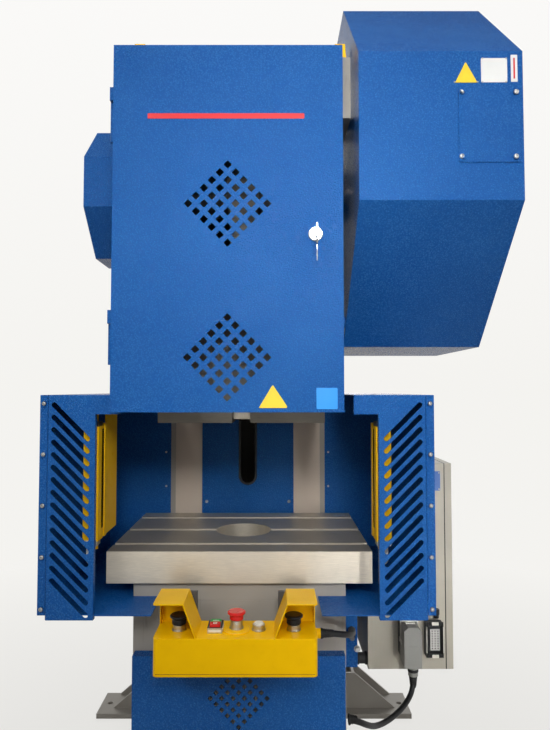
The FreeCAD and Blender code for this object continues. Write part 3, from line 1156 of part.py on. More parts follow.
carrier = body("cabinet_carrier")
CARRIER_END = f"({CARRIER_Y} + carrier_depth)"
pad(carrier, "Z", "carrier_low", "carrier_high", polygon(
    (SIDE_OUT, CARRIER_Y), ("carrier_right", CARRIER_Y), ("carrier_right", CARRIER_END),
    (SIDE_OUT, CARRIER_END), (SIDE_OUT, f"{CARRIER_END} - carrier_wall"),
    ("carrier_right - carrier_wall", f"{CARRIER_END} - carrier_wall"),
    ("carrier_right - carrier_wall", f"{CARRIER_Y} + carrier_wall"),
    (SIDE_OUT, f"{CARRIER_Y} + carrier_wall")))
pad(carrier, "Y", f"{CARRIER_Y} - 25", CARRIER_Y, circle(
    "carrier_right - 23", "connector_middle + 16", "gland_rad - 2"))

buffers = []
for place, (along_y, up_z) in enumerate((
        (f"{CARRIER_Y} + buffer_inset - 4", "carrier_low + 20"),
        (f"{CARRIER_END} - buffer_inset - 14", "carrier_low + 20"),
        (f"{CARRIER_Y} + buffer_inset - 4", "carrier_high - 40"),
        (f"{CARRIER_END} - buffer_inset - 14", "carrier_high - 40")), start=1):
    buffers.append(turned(f"buffer_{place}", ("carrier_right", along_y, up_z), "X", (
        ("0", "0"), ("buffer_rad", "0"), ("buffer_rad", "6"), ("buffer_rad - 3", "8"),
        ("buffer_rad - 3", "cabinet_left - carrier_right - 8"),
        ("buffer_rad", "cabinet_left - carrier_right - 6"),
        ("buffer_rad", "cabinet_left - carrier_right"), ("0", "cabinet_left - carrier_right"))))
joined("cabinet_buffers", *buffers)

CABINET_END = f"({CABINET_Y} + cabinet_length)"
CABINET_HIGH = "(cabinet_low + cabinet_height)"
CABINET_RIGHT = "(cabinet_left + cabinet_thick)"
cabinet = tray("cabinet_body", "X", "cabinet_left", CABINET_RIGHT, CABINET_Y, "cabinet_low",
               CABINET_END, CABINET_HIGH)
switch_door = tray("cabinet_door", "X", f"{CABINET_RIGHT} + cabinet_seal", f"{CABINET_RIGHT} + cabinet_seal + cabinet_door_thick",
     CABINET_Y, "cabinet_low", CABINET_END, CABINET_HIGH, open_low=True)
PIN = (f"{CABINET_RIGHT} + cabinet_seal + cabinet_door_thick + 1.4", f"{CABINET_END} + 6")
for low in ("cabinet_low + 80", "cabinet_high_hinge"):
    middle = f"{low} + cabinet_hinge / 2"
    pad(cabinet, "Z", f"{middle} + 0.2", f"{low} + cabinet_hinge", polygon(
        (f"{CABINET_RIGHT} - 25", CABINET_END), (CABINET_RIGHT, CABINET_END),
        (CABINET_RIGHT, f"{CABINET_END} + cabinet_seal"), (PIN[0], f"{CABINET_END} + cabinet_seal"),
        (PIN[0], f"{CABINET_END} + 3"), (f"{CABINET_RIGHT} - 25", f"{CABINET_END} + 3")))
    pad(cabinet, "Z", f"{middle} + 0.2", f"{low} + cabinet_hinge", circle(*PIN, "hinge_rad - 1"))
    pad(switch_door, "Z", low, middle, rectangle(
        f"{CABINET_RIGHT} + cabinet_seal", CABINET_END, PIN[0], f"{CABINET_END} + 3"))
    pad(switch_door, "Z", low, middle, circle(*PIN, "hinge_rad - 1"))
turned("cabinet_lock", (f"{CABINET_RIGHT} + cabinet_seal + cabinet_door_thick", f"{CABINET_Y} + 53",
                        "cabinet_low + cabinet_height / 2"), "X", (
    ("0", "0"), ("lock_rad + 2", "0"), ("lock_rad + 2", "5"), ("lock_rad - 1", "9"),
    ("0", "9")))

bases = body("connector_bases_pair")
HALF_WIDE = "(connector_width / 2)"
HALF_TALL = "(connector_height / 2)"
CONNECTOR_Y = f"({CABINET_Y} - connector_depth)"
pad(bases, "Y", CONNECTOR_Y, CABINET_Y, rectangle(
    f"plug_right - {HALF_WIDE}", f"connector_middle + 8 - {HALF_TALL}",
    f"plug_right + {HALF_WIDE}", f"connector_middle + 8 + {HALF_TALL}"))
socket = body("socket_base")
pad(socket, "Y", CONNECTOR_Y, CABINET_Y, rectangle(
    f"socket_right - {HALF_WIDE}", f"connector_middle - {HALF_TALL}",
    f"socket_right + {HALF_WIDE}", f"connector_middle + {HALF_TALL}"))
pocket(socket, "Y", CONNECTOR_Y, f"{CONNECTOR_Y} + 20", rectangle(
    f"socket_right - {HALF_WIDE} + 5", f"connector_middle - {HALF_TALL} + 5",
    f"socket_right + {HALF_WIDE} - 5", f"connector_middle + {HALF_TALL} - 5"))
joined("connector_bases", bases, socket)

plug = body("cable_plug")
PLUG_Y = f"({CONNECTOR_Y} - hood_depth_out)"
PLUG_LOW = f"(connector_middle + 8 - {HALF_TALL} - 13)"
pad(plug, "Y", PLUG_Y, CONNECTOR_Y, polygon(
    (f"plug_right - {HALF_WIDE}", PLUG_LOW), (f"plug_right + {HALF_WIDE}", PLUG_LOW),
    (f"plug_right + {HALF_WIDE}", f"{PLUG_LOW} + hood_height - 12"),
    (f"plug_right + {HALF_WIDE} - 12", f"{PLUG_LOW} + hood_height"),
    (f"plug_right - {HALF_WIDE} + 12", f"{PLUG_LOW} + hood_height"),
    (f"plug_right - {HALF_WIDE}", f"{PLUG_LOW} + hood_height - 12")))
pad(plug, "Z", f"{PLUG_LOW} - gland_length", PLUG_LOW, circle(
    "plug_right + 4", f"{PLUG_Y} + 23", "gland_rad + 1"))


def cable(label, points, radius):
    """A round cable through points: straight runs joined by the widest tangent arcs."""
    corners = [FreeCAD.Vector(*point) for point in points]
    edges = []
    start = corners[0]
    radii = []
    for before, corner, after in zip(corners, corners[1:], corners[2:]):
        way_in = (corner - before).normalize()
        way_out = (after - corner).normalize()
        half_turn = way_in.getAngle(way_out) / 2
        reach = 0.45 * min((corner - before).Length, (after - corner).Length)
        radii.append(reach / math.tan(half_turn))
        enter = corner - way_in * reach
        leave = corner + way_out * reach
        inward = (way_out - way_in).normalize()
        middle = corner + inward * (radii[-1] / math.cos(half_turn) - radii[-1])
        edges += [Part.makeLine(start, enter), Part.Arc(enter, middle, leave).toShape()]
        start = leave
    edges.append(Part.makeLine(start, corners[-1]))
    route = Part.Wire(edges)
    ring = Part.Wire([Part.makeCircle(number(radius), corners[0], corners[1] - corners[0])])
    print(f"{label}: {route.Length:.0f} mm, tightest bend {min(radii):.0f} mm")
    return solid(label, route.makePipeShell([ring], True, False))


# The free cables keep the points chosen for them, from gland to gland.
CABINET_CABLE = (
    (509, -235, 513), (509, -235, 487), (499, -248, 460), (468, -281, 441), (430, -318, 433),
    (394, -354, 434), (362, -392, 447), (337, -428, 471), (312, -449, 492), (284, -453, 500))
CONSOLE_CABLE = (
    (187, -725, 838), (212, -725, 838), (237, -717, 832), (257, -697, 823), (268, -668, 815),
    (273, -630, 806), (277, -580, 790), (282, -525, 766), (288, -470, 738), (296, -410, 706),
    (305, -350, 676), (314, -295, 650), (321, -252, 630), (327, -218, 616), (327, -185, 616))
cable("cabinet_cable", CABINET_CABLE, "cable_rad")
cable("console_cable", CONSOLE_CABLE, "lead_rad")

doc.recompute()
for feature in doc.Objects:
    if "Invalid" in feature.State or "Error" in feature.State:
        raise RuntimeError(f"{feature.Label}: {feature.State}")
os.makedirs("parts", exist_ok=True)
for piece in pieces:
    if piece.Shape.isNull() or not piece.Shape.isValid():
        raise RuntimeError(f"{piece.Label} has no valid shape")
    piece.Shape.exportStep(f"parts/{piece.Label}.step")
print(len(pieces), "pieces written")
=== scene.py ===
# %% [markdown]
# # A mechanical stamping press
#
# This is an open-gap eccentric press: two thick cut-out plates carry a head with the crankshaft,
# a bed with a slotted bolster, and sheet-metal covers all round. The CAD model already holds
# every piece at its right place. This notebook dresses it: it lights the machine, paints the
# pieces that stay, and builds the ones that a plain solid can't show well.
#
# Everything is in metres. X runs to the right as the operator sees it, Y to the rear, Z up, and
# the origin is on the floor between the four anchor holes.

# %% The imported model
import json
import math
import bmesh
import bpy
from mathutils import Matrix, Vector
from mathutils.bvhtree import BVHTree

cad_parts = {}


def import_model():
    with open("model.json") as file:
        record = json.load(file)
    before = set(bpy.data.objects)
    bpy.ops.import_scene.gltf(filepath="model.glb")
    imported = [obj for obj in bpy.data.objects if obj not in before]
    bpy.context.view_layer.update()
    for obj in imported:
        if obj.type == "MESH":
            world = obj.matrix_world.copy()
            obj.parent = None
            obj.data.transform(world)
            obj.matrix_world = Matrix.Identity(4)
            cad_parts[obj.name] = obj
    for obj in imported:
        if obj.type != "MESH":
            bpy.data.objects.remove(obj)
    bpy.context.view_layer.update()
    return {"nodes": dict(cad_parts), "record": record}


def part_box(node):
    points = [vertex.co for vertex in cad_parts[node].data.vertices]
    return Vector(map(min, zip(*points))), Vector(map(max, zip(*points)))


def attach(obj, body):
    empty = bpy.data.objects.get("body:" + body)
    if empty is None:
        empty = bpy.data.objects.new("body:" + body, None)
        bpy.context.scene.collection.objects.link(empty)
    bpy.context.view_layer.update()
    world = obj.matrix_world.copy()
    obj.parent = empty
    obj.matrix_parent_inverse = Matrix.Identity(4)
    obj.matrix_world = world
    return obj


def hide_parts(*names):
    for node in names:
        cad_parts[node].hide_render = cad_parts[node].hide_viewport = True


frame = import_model()

# %% [markdown]
# ## The camera
#
# The photographer stood two metres from the crank's plane, a little to the right of the middle
# and with the lens at chest height, tilted up by less than three degrees. Matching the vanishing
# lines gives the lens: a wide one. The picture was cropped, so its optical centre lies left of
# its middle, and a small sideways shift stands for that.

# %% Camera
PICTURE_WIDTH = 550
PICTURE_HEIGHT = 730
FOCAL_PIXELS = 588
OPTICAL_CENTRE_X = 272.9
SENSOR = 24.0
CAMERA_PLACE = Vector((0.080, -2.073, 1.386))
CAMERA_TILT = math.radians(2.4)

camera_data = bpy.data.cameras.new("camera")
camera_data.sensor_width = SENSOR
camera_data.lens = SENSOR * FOCAL_PIXELS / PICTURE_HEIGHT
camera_data.shift_x = (PICTURE_WIDTH / 2 - OPTICAL_CENTRE_X) / PICTURE_HEIGHT
camera = bpy.data.objects.new("camera", camera_data)
camera.location = CAMERA_PLACE
camera.rotation_euler = (math.pi / 2 + CAMERA_TILT, 0, 0)
bpy.context.scene.collection.objects.link(camera)
bpy.context.scene.camera = camera
print(f"lens {camera_data.lens:.1f} mm")

# %% [markdown]
# ## Writing shaders as sums
#
# A finish is a sum of simple patterns: a grain, a cloud, a few scratches. Blender joins such
# patterns with nodes, and forty nodes set one by one can't be read. This small class wraps a
# socket, so Python's own operators add the Math nodes. Colours and directions go through Mix and
# Vector Math, because a Math node would turn a colour grey.

# %% A socket that can be calculated with
class Wire:
    """A value in a material, on which +, * and a number minus it work."""

    def __init__(self, finish, socket):
        self.finish = finish
        self.socket = socket

    def maths(self, operation, first, second):
        return self.finish.add("ShaderNodeMath", {"operation": operation},
                               {0: first, 1: second})

    def __add__(self, other):
        return self.maths("ADD", self, other)

    def __rsub__(self, other):
        return self.maths("SUBTRACT", other, self)

    def __mul__(self, other):
        return self.maths("MULTIPLY", self, other)

    __radd__ = __add__
    __rmul__ = __mul__

    def ramp(self, low, high):
        """0 at low, 1 at high, straight between and held outside."""
        return self.finish.add("ShaderNodeMapRange", {"clamp": True},
                               {"Value": self, "From Min": low, "From Max": high})


# %% A finish and its nodes
class Finish:
    """A material whose shader is Blender's Principled one."""

    def __init__(self, name, **fixed):
        self.material = bpy.data.materials.new(name)
        self.material.use_nodes = True
        self.nodes = self.material.node_tree.nodes
        self.links = self.material.node_tree.links
        self.shader = self.nodes["Principled BSDF"]
        for socket, value in fixed.items():
            self.set(socket.replace("_", " "), value)

    def set(self, socket, value):
        """Gives one input of the shader a fixed value or a wire."""
        self.feed(self.shader.inputs[socket], value)

    def feed(self, socket, value):
        if isinstance(value, Wire):
            self.links.new(value.socket, socket)
        else:
            socket.default_value = value

    def add(self, kind, settings=None, inputs=None, output=0):
        """Adds a node, sets it up, feeds its sockets and returns one of its outputs."""
        node = self.nodes.new(kind)
        for setting, value in (settings or {}).items():
            if setting == "stops":
                ramp = node.color_ramp
                while len(ramp.elements) < len(value):
                    ramp.elements.new(0.5)
                for element, (place, colour) in zip(ramp.elements, value):
                    element.position = place
                    element.color = colour
            else:
                setattr(node, setting, value)
        for socket, value in (inputs or {}).items():
            self.feed(node.inputs[socket], value)
        return Wire(self, node.outputs[output])

    def place(self):
        """The point on the piece, in metres."""
        return self.add("ShaderNodeTexCoord", output="Object")

    def stretched(self, across, along, up):
        """The same point with each axis scaled, which draws a pattern out."""
        return self.add("ShaderNodeMapping", {"vector_type": "POINT"},
                        {"Vector": self.place(), "Scale": (across, along, up)})

    def noise(self, scale, detail=3.0, at=None, roughness=0.5):
        return self.add("ShaderNodeTexNoise", {}, {
            "Vector": at or self.place(), "Scale": scale, "Detail": detail,
            "Roughness": roughness})

    def cells(self, scale):
        return self.add("ShaderNodeTexVoronoi", {}, {"Vector": self.place(), "Scale": scale})

    def blend(self, share, first, second):
        """Mixes two colours by a share from 0 to 1."""
        return self.add("ShaderNodeMix", {"data_type": "RGBA"},
                        {"Factor": share, 6: first, 7: second}, output=2)

    def part(self, vector, axis):
        return self.add("ShaderNodeSeparateXYZ", {}, {0: vector}, output=axis)

    def relief(self, height, depth, strength=1.0, normal=None):
        """Turns a height pattern into bumps that are depth metres high."""
        inputs = {"Height": height, "Distance": depth, "Strength": strength}
        if normal:
            inputs["Normal"] = normal
        return self.add("ShaderNodeBump", {}, inputs)

    def soft_edges(self, radius):
        """Surface directions that turn over the edges as a rounding of that radius does."""
        return self.add("ShaderNodeBevel", {"samples": 4}, {"Radius": radius})


print("shader sums ready")

# %% [markdown]
# ## Blue hammer-textured paint
#
# The covers are powder coated. As the powder melts it pulls into small beads, so the surface is
# a field of rounded pimples three millimetres across that sparkle where a lamp is mirrored. A
# Voronoi pattern gives the beads, a finer noise breaks them up, and both go into bumps. The
# beads' crests are also painted paler: a painted sparkle highlight that stands in for the lamps
# mirrored in them.

# %% Blue paint
BEAD_ROWS = 240
BLUE_LOW = (0.0008, 0.058, 0.258, 1)
# The second colour is the crests' painted sparkle highlight.
BLUE_PAINTED_SPARKLE = (0.056, 0.285, 0.700, 1)
BEAD_SHINE = 0.15


def blue_paint():
    paint = Finish("blue_hammer_paint", IOR=1.4, Specular_IOR_Level=BEAD_SHINE)
    beads = paint.cells(BEAD_ROWS)
    crumbs = paint.noise(640, 2.0)
    cloud = paint.noise(5, 3.0)
    crest = beads.ramp(0.62, 0.12) * crumbs.ramp(0.30, 0.72)
    # The paler crests in the colour are a painted sparkle highlight; the cloud is the paint's own
    # random tone.
    tone = crest * 0.60 + cloud.ramp(0.25, 0.75) * 0.08 + 0.05
    paint.set("Base Color", paint.blend(tone, BLUE_LOW, BLUE_PAINTED_SPARKLE))
    paint.set("Roughness", crumbs * 0.14 + cloud * 0.06 + 0.17)
    paint.set("Normal", paint.relief(crest + crumbs * 0.5, 0.0013, 1.0,
                                     paint.soft_edges(0.0016)))
    return paint.material


BLUE = blue_paint()
print("beads", round(1000 / BEAD_ROWS, 1), "mm across")

# %% [markdown]
# ## Light grey frame paint
#
# The thick plates are brushed or rolled with a satin paint. It shows the plate's faint waves and a
# few scuffs near the floor, and it is slightly darker in patches towards the bottom, so the tone
# also depends on height.

# %% Frame paint
def frame_paint(name, pale, shade):
    paint = Finish(name, IOR=1.45, Specular_IOR_Level=0.35)
    stipple = paint.noise(420, 2.0)
    cloud = paint.noise(5, 4.0)
    scuff = paint.noise(60, 6.0, paint.stretched(1, 1, 0.15)).ramp(0.66, 0.74)
    height = paint.part(paint.place(), 2)
    # Slightly darker in patches towards the bottom.
    dust = (height.ramp(0.55, 0.0) * cloud).ramp(0.1, 0.9)
    tone = cloud.ramp(0.3, 0.7) * 0.5 + dust * 0.5
    base = paint.blend(tone, pale, shade)
    paint.set("Base Color", paint.blend(scuff * 0.35, base, (0.17, 0.16, 0.145, 1)))
    paint.set("Roughness", stipple * 0.15 + scuff * 0.15 + 0.36)
    paint.set("Normal", paint.relief(stipple, 0.00025, 0.6, paint.soft_edges(0.002)))
    return paint.material


FRAME_GREY = frame_paint("light_grey_frame_paint", (0.345, 0.322, 0.285, 1),
                         (0.275, 0.252, 0.218, 1))
# The throat posts get a warmer, lighter copy of the frame paint; the extra lightness is painted
# light for the shaded throat.
POST_GREY_PAINTED_LIGHTER = frame_paint("warm_grey_post_paint_painted_lighter", (0.60, 0.505, 0.415, 1), (0.48, 0.40, 0.33, 1))
print("frame paint ready")

# %% [markdown]
# ## Yellow paint
#
# Safety yellow marks what the operator reaches for and what the crane hooks into. It is a
# smoother gloss coat with a fine orange peel, rubbed a little darker where hands rest.

# %% Yellow paint
def yellow_paint(name, colour, worn):
    paint = Finish(name, IOR=1.36, Specular_IOR_Level=0.10)
    peel = paint.noise(260, 2.0)
    cloud = paint.noise(14, 4.0)
    rubbed = paint.noise(55, 5.0).ramp(0.60, 0.75)
    tone = cloud.ramp(0.35, 0.8) * 0.55 + rubbed * 0.2
    paint.set("Base Color", paint.blend(tone, colour, worn))
    paint.set("Roughness", peel * 0.14 + rubbed * 0.15 + 0.24)
    paint.set("Normal", paint.relief(peel, 0.0003, 0.5, paint.soft_edges(0.0018)))
    return paint.material


YELLOW = yellow_paint("console_yellow_paint", (0.90, 0.515, 0.001, 1), (0.76, 0.41, 0.001, 1))
CURTAIN_YELLOW = yellow_paint("curtain_yellow_coat", (0.80, 0.46, 0.006, 1),
                              (0.66, 0.35, 0.004, 1))
print("two yellows ready")

# %% [markdown]
# ## Ground and milled steel
#
# The bolster is planed and then ground. A face cutter leaves fine parallel lines along the
# table, and the grinder crosses them with a softer haze. Noise that is stretched a hundred times
# along one axis draws such lines. The lines change the roughness and the bumps much more than
# the colour.

# %% Machined steel
def machined_steel(name, stretch, tone=0.50, haze=0.12, metal=1.0, rough=0.26):
    steel = Finish(name, Metallic=metal)
    lines = steel.noise(55, 4.0, steel.stretched(*stretch), 0.62)
    cloud = steel.noise(7, 5.0)
    stain = steel.noise(20, 6.0).ramp(0.58, 0.72)
    shade = lines * 0.6 + cloud * 0.4
    bright = (tone, tone * 0.91, tone * 0.75, 1)
    dull = (tone * 0.68, tone * 0.62, tone * 0.52, 1)
    base = steel.blend(shade.ramp(0.30, 0.70), dull, bright)
    steel.set("Base Color", steel.blend(stain * haze * 2, base, (0.20, 0.185, 0.16, 1)))
    steel.set("Roughness", lines * 0.22 + stain * haze + rough)
    steel.set("Normal", steel.relief(lines, 0.00012, 0.5, steel.soft_edges(0.0012)))
    return steel.material


TABLE_STEEL = machined_steel("ground_table_steel", (0.7, 14, 14), 0.70, 0.05, 0.72, 0.34)
SLIDE_STEEL = machined_steel("scraped_slide_steel", (14, 14, 0.7), 0.46)
# The ram's steel is painted much darker than the slides': painted shade for the shade under the
# door.
RAM_STEEL_PAINTED_SHADE = machined_steel("ram_steel_painted_shade", (0.7, 10, 10), 0.20, 0.10, 0.45, 0.42)
ROUND_STEEL = machined_steel("turned_steel", (14, 1, 1), 0.50)
print("three steels ready")

# %% [markdown]
# ## Turned cast iron
#
# The flywheel and the pulleys are castings whose faces are turned. Inside, the skin stays rough
# and dark. Noise with the axis direction squeezed gives the tool's rings on the rim.

# %% Cast iron
def cast_iron(name, tone):
    iron = Finish(name, Metallic=0.55, IOR=1.6)
    grit = iron.noise(320, 4.0)
    rings = iron.noise(60, 2.0, iron.stretched(12, 0.5, 0.5))
    shade = (grit * 0.6 + rings * 0.4).ramp(0.35, 0.65)
    iron.set("Base Color", iron.blend(shade, (tone * 0.6, tone * 0.6, tone * 0.62, 1),
                                      (tone * 1.5, tone * 1.5, tone * 1.5, 1)))
    iron.set("Roughness", grit * 0.3 + 0.38)
    iron.set("Normal", iron.relief(grit, 0.0003, 0.6, iron.soft_edges(0.0015)))
    return iron.material


IRON = cast_iron("turned_cast_iron", 0.13)
BRONZE_RINGS = machined_steel("bearing_bronze", (10, 1, 1), 0.42)
print("cast iron ready")

# %% [markdown]
# ## Paints for the bought-in parts
#
# The motor, the switch cabinet, the brackets and the connector hoods come from other makers and
# carry their own coats: a fine structure powder on the cabinet, a thick dip coat on the motor
# and bare die-cast aluminium on the hoods. One function with four numbers serves them all.

# %% Structure powder
def powder(name, colour, grain=520, gloss=0.42, depth=0.00018, edge=0.0015):
    coat = Finish(name, IOR=1.47)
    grit = coat.noise(grain, 3.0)
    cloud = coat.noise(8, 4.0)
    darker = tuple(channel * 0.8 for channel in colour[:3]) + (1,)
    coat.set("Base Color", coat.blend(cloud.ramp(0.35, 0.75) * 0.6 + grit * 0.2, colour, darker))
    coat.set("Roughness", grit * 0.22 + gloss)
    coat.set("Normal", coat.relief(grit, depth, 0.6, coat.soft_edges(edge)))
    return coat.material


CABINET_GREY = powder("cabinet_structure_powder", (0.47, 0.435, 0.355, 1))
DARK_GREY = powder("dark_grey_powder", (0.055, 0.058, 0.062, 1))
MOTOR_GREY = powder("motor_dip_coat", (0.10, 0.125, 0.15, 1), 180, 0.36, 0.0003)
HOOD_GREY = powder("die_cast_hood", (0.27, 0.265, 0.245, 1), 700, 0.34, 0.00015)
FADED_BLUE = powder("blank_blue_plate", (0.035, 0.13, 0.42, 1), 600, 0.3, 0.00008)
SIGN_YELLOW = powder("blank_yellow_sign", (0.90, 0.60, 0.02, 1), 600, 0.3, 0.00005)
SIGN_WHITE = powder("blank_white_sign", (0.74, 0.74, 0.72, 1), 600, 0.3, 0.00005)
SKY_BLUE = powder("blank_light_blue_plate", (0.012, 0.28, 0.80, 1), 600, 0.3, 0.00005)
# A dark orange strip: painted shadow of the seam at the console's lower edge.
SEAM_PAINTED_SHADOW = powder("seam_shadow", (0.40, 0.16, 0.004, 1), 600, 0.4, 0.00005)
SIGN_RED = powder("plain_red_strip", (0.62, 0.010, 0.012, 1), 600, 0.22, 0.00005)
print("powders ready")

# %% [markdown]
# ## Plastic and rubber
#
# Moulded plastic has a slight skin texture and soft highlights. Rubber is darker and duller, and
# dust settles in it, which shows as paler clouds.

# %% Plastic and rubber
def moulded(name, colour, gloss, dust=0.05):
    plastic = Finish(name, IOR=1.46, Specular_IOR_Level=0.3)
    skin = plastic.noise(900, 2.0)
    cloud = plastic.noise(30, 4.0).ramp(0.45, 0.8)
    dusty = tuple(min(1.0, channel + dust) for channel in colour[:3]) + (1,)
    plastic.set("Base Color", plastic.blend(cloud, colour, dusty))
    plastic.set("Roughness", skin * 0.12 + cloud * 0.1 + gloss)
    plastic.set("Normal", plastic.relief(skin, 0.00008, 0.5, plastic.soft_edges(0.0009)))
    return plastic.material


BLACK_PLASTIC = moulded("black_button_plastic", (0.006, 0.006, 0.007, 1), 0.24, 0.008)
RED_PLASTIC = moulded("red_button_plastic", (0.60, 0.012, 0.010, 1), 0.18, 0.02)
GREEN_PLASTIC = moulded("green_button_plastic", (0.015, 0.33, 0.055, 1), 0.2, 0.02)
WHITE_PLASTIC = moulded("white_lamp_plastic", (0.72, 0.70, 0.62, 1), 0.22, 0.02)
GREY_PLASTIC_PALE = moulded("pale_contact_insert", (0.50, 0.49, 0.46, 1), 0.4, 0.03)
RUBBER = moulded("black_rubber", (0.009, 0.009, 0.009, 1), 0.55, 0.015)
SHEATH = moulded("black_cable_sheath", (0.006, 0.006, 0.007, 1), 0.36, 0.008)
LENS = moulded("dark_sensor_window", (0.010, 0.006, 0.006, 1), 0.06, 0.0)
print("plastics ready")

# %% [markdown]
# ## Plated metal
#
# Keys, lock barrels, collars and screws are zinc or chrome plated: bright, a little cloudy, with
# hair scratches.

# %% Plated metal
def plated(name, tone, rough):
    metal = Finish(name, Metallic=1.0)
    cloud = metal.noise(90, 4.0)
    hair = metal.noise(400, 2.0, metal.stretched(1, 8, 1))
    metal.set("Base Color", metal.blend(cloud, (tone, tone, tone * 0.98, 1),
                                        (tone * 0.75, tone * 0.74, tone * 0.72, 1)))
    metal.set("Roughness", hair * 0.2 + rough)
    metal.set("Normal", metal.relief(hair, 0.00005, 0.4, metal.soft_edges(0.0006)))
    return metal.material


PLATED = plated("zinc_plated", 0.56, 0.20)
SCREW_GREY = plated("dull_steel_screw", 0.34, 0.26)
SCREW_BLACK = plated("black_oxide_screw", 0.09, 0.30)
print("plated metals ready")

# %% [markdown]
# ## Painting the pieces that stay
#
# Most CAD pieces have the right shape already, so they only change their material. The table
# says which finish each one gets, and the print shows whether any was forgotten.

# %% Finishes of the CAD pieces
DRESSED = {
    FRAME_GREY: ["frame_side_left", "frame_side_right", "bed_table", "bed_front_plate",
                 "head_box", "base_plate", "feet_front", "feet_rear"],
    POST_GREY_PAINTED_LIGHTER: ["throat_posts"],
    BLUE: ["throat_panel", "lower_cover", "front_door", "door_hinges", "head_hood",
           "flywheel_guard", "guard_access_plate", "brake_guard", "brake_guard_lid",
           "guard_panel_left", "guard_panel_right", "guard_box_left", "guard_box_right",
           "cabinet_carrier"],
    YELLOW: ["lifting_lugs", "console_body"],
    CURTAIN_YELLOW: ["light_curtain_left", "light_curtain_right", "curtain_plates"],
    DARK_GREY: ["console_brackets", "connector_bases"],
    TABLE_STEEL: ["bolster_plate"],
    SLIDE_STEEL: ["gibs", "shank_clamp", "connecting_rod"],
    RAM_STEEL_PAINTED_SHADE: ["ram"],
    ROUND_STEEL: ["crankshaft", "rod_screw"],
    IRON: ["flywheel", "motor_pulley", "brake_drum", "clutch_unit"],
    BRONZE_RINGS: ["main_bearings"],
    MOTOR_GREY: ["motor"],
    CABINET_GREY: ["cabinet_body", "cabinet_door"],
    HOOD_GREY: ["cable_plug"],
    RUBBER: ["slot_edging", "cabinet_buffers", "v_belts"],
    PLATED: ["door_key", "button_collars", "cabinet_lock"],
    BLACK_PLASTIC: ["palm_button_left", "palm_button_right"],
    RED_PLASTIC: ["emergency_stop", "stop_button"],
    GREEN_PLASTIC: ["start_button"],
    WHITE_PLASTIC: ["reset_button"],
    SHEATH: ["cabinet_cable", "console_cable"],
}


def dress(node, material):
    """Gives a CAD piece its finish."""
    thing = frame["nodes"][node]
    if not thing.material_slots:
        thing.data.materials.append(material)
    for slot in thing.material_slots:
        slot.material = material


for material, names in DRESSED.items():
    for node in names:
        dress(node, material)
undressed = set(frame["nodes"]) - {node for names in DRESSED.values() for node in names}
print("without a finish:", sorted(undressed) or "none")

# %% [markdown]
# ## Floor, backdrop and lamps
#
# The photograph's surroundings are near white with no horizon. So the floor glows by itself in
# the colour of the backdrop far from the machine, and near it only partly, because there a real
# floor has to take the machine's shadow. Light Path sees to it that this glow shows in the
# picture and in reflections, and lights nothing: for light it stays a plain grey floor.

# %% Floor
FLOOR_HALF = 9.0
BACKDROP = (0.905, 0.896, 0.868, 1)
ZENITH = (0.962, 0.954, 0.940, 1)
CEILING = (0.20, 0.195, 0.185, 1)


def seen_directly(nodes, links):
    """1 for what the camera, a mirror or glass shows, 0 for light on its way."""
    path = nodes.new("ShaderNodeLightPath")
    total = path.outputs["Is Camera Ray"]
    for output in ("Is Glossy Ray", "Is Transmission Ray"):
        either = nodes.new("ShaderNodeMath")
        either.operation = "MAXIMUM"
        links.new(total, either.inputs[0])
        links.new(path.outputs[output], either.inputs[1])
        total = either.outputs[0]
    return total


def floor():
    mesh = bpy.data.meshes.new("floor")
    corners = [(x * FLOOR_HALF, y * FLOOR_HALF, 0) for x, y in
               ((-1, -1), (1, -1), (1, 1), (-1, 1))]
    mesh.from_pydata(corners, [], [(0, 1, 2, 3)])
    ground = bpy.data.objects.new("floor", mesh)
    bpy.context.scene.collection.objects.link(ground)
    screed = Finish("pale_floor", IOR=1.4, Roughness=0.6)
    screed.set("Base Color", screed.blend(screed.noise(0.8, 4.0), (0.42, 0.415, 0.40, 1),
                                          (0.40, 0.395, 0.38, 1)))
    away = screed.add("ShaderNodeVectorMath", {"operation": "LENGTH"}, {0: screed.place()}, 1)
    far = away.ramp(0.9, 3.2)
    glow = screed.add("ShaderNodeEmission", {}, {"Color": BACKDROP, "Strength": 1.07 - far * 0.07})
    share = far * 0.26 + 0.74
    seen = Wire(screed, seen_directly(screed.nodes, screed.links)) * share
    mixed = screed.add("ShaderNodeMixShader", {}, {0: seen, 2: glow})
    screed.links.new(screed.shader.outputs[0], mixed.socket.node.inputs[1])
    screed.links.new(mixed.socket, screed.nodes["Material Output"].inputs["Surface"])
    mesh.materials.append(screed.material)
    return ground


floor()
print("floor", 2 * FLOOR_HALF, "m square")

# %% World
WORLD_LIGHT = 0.22


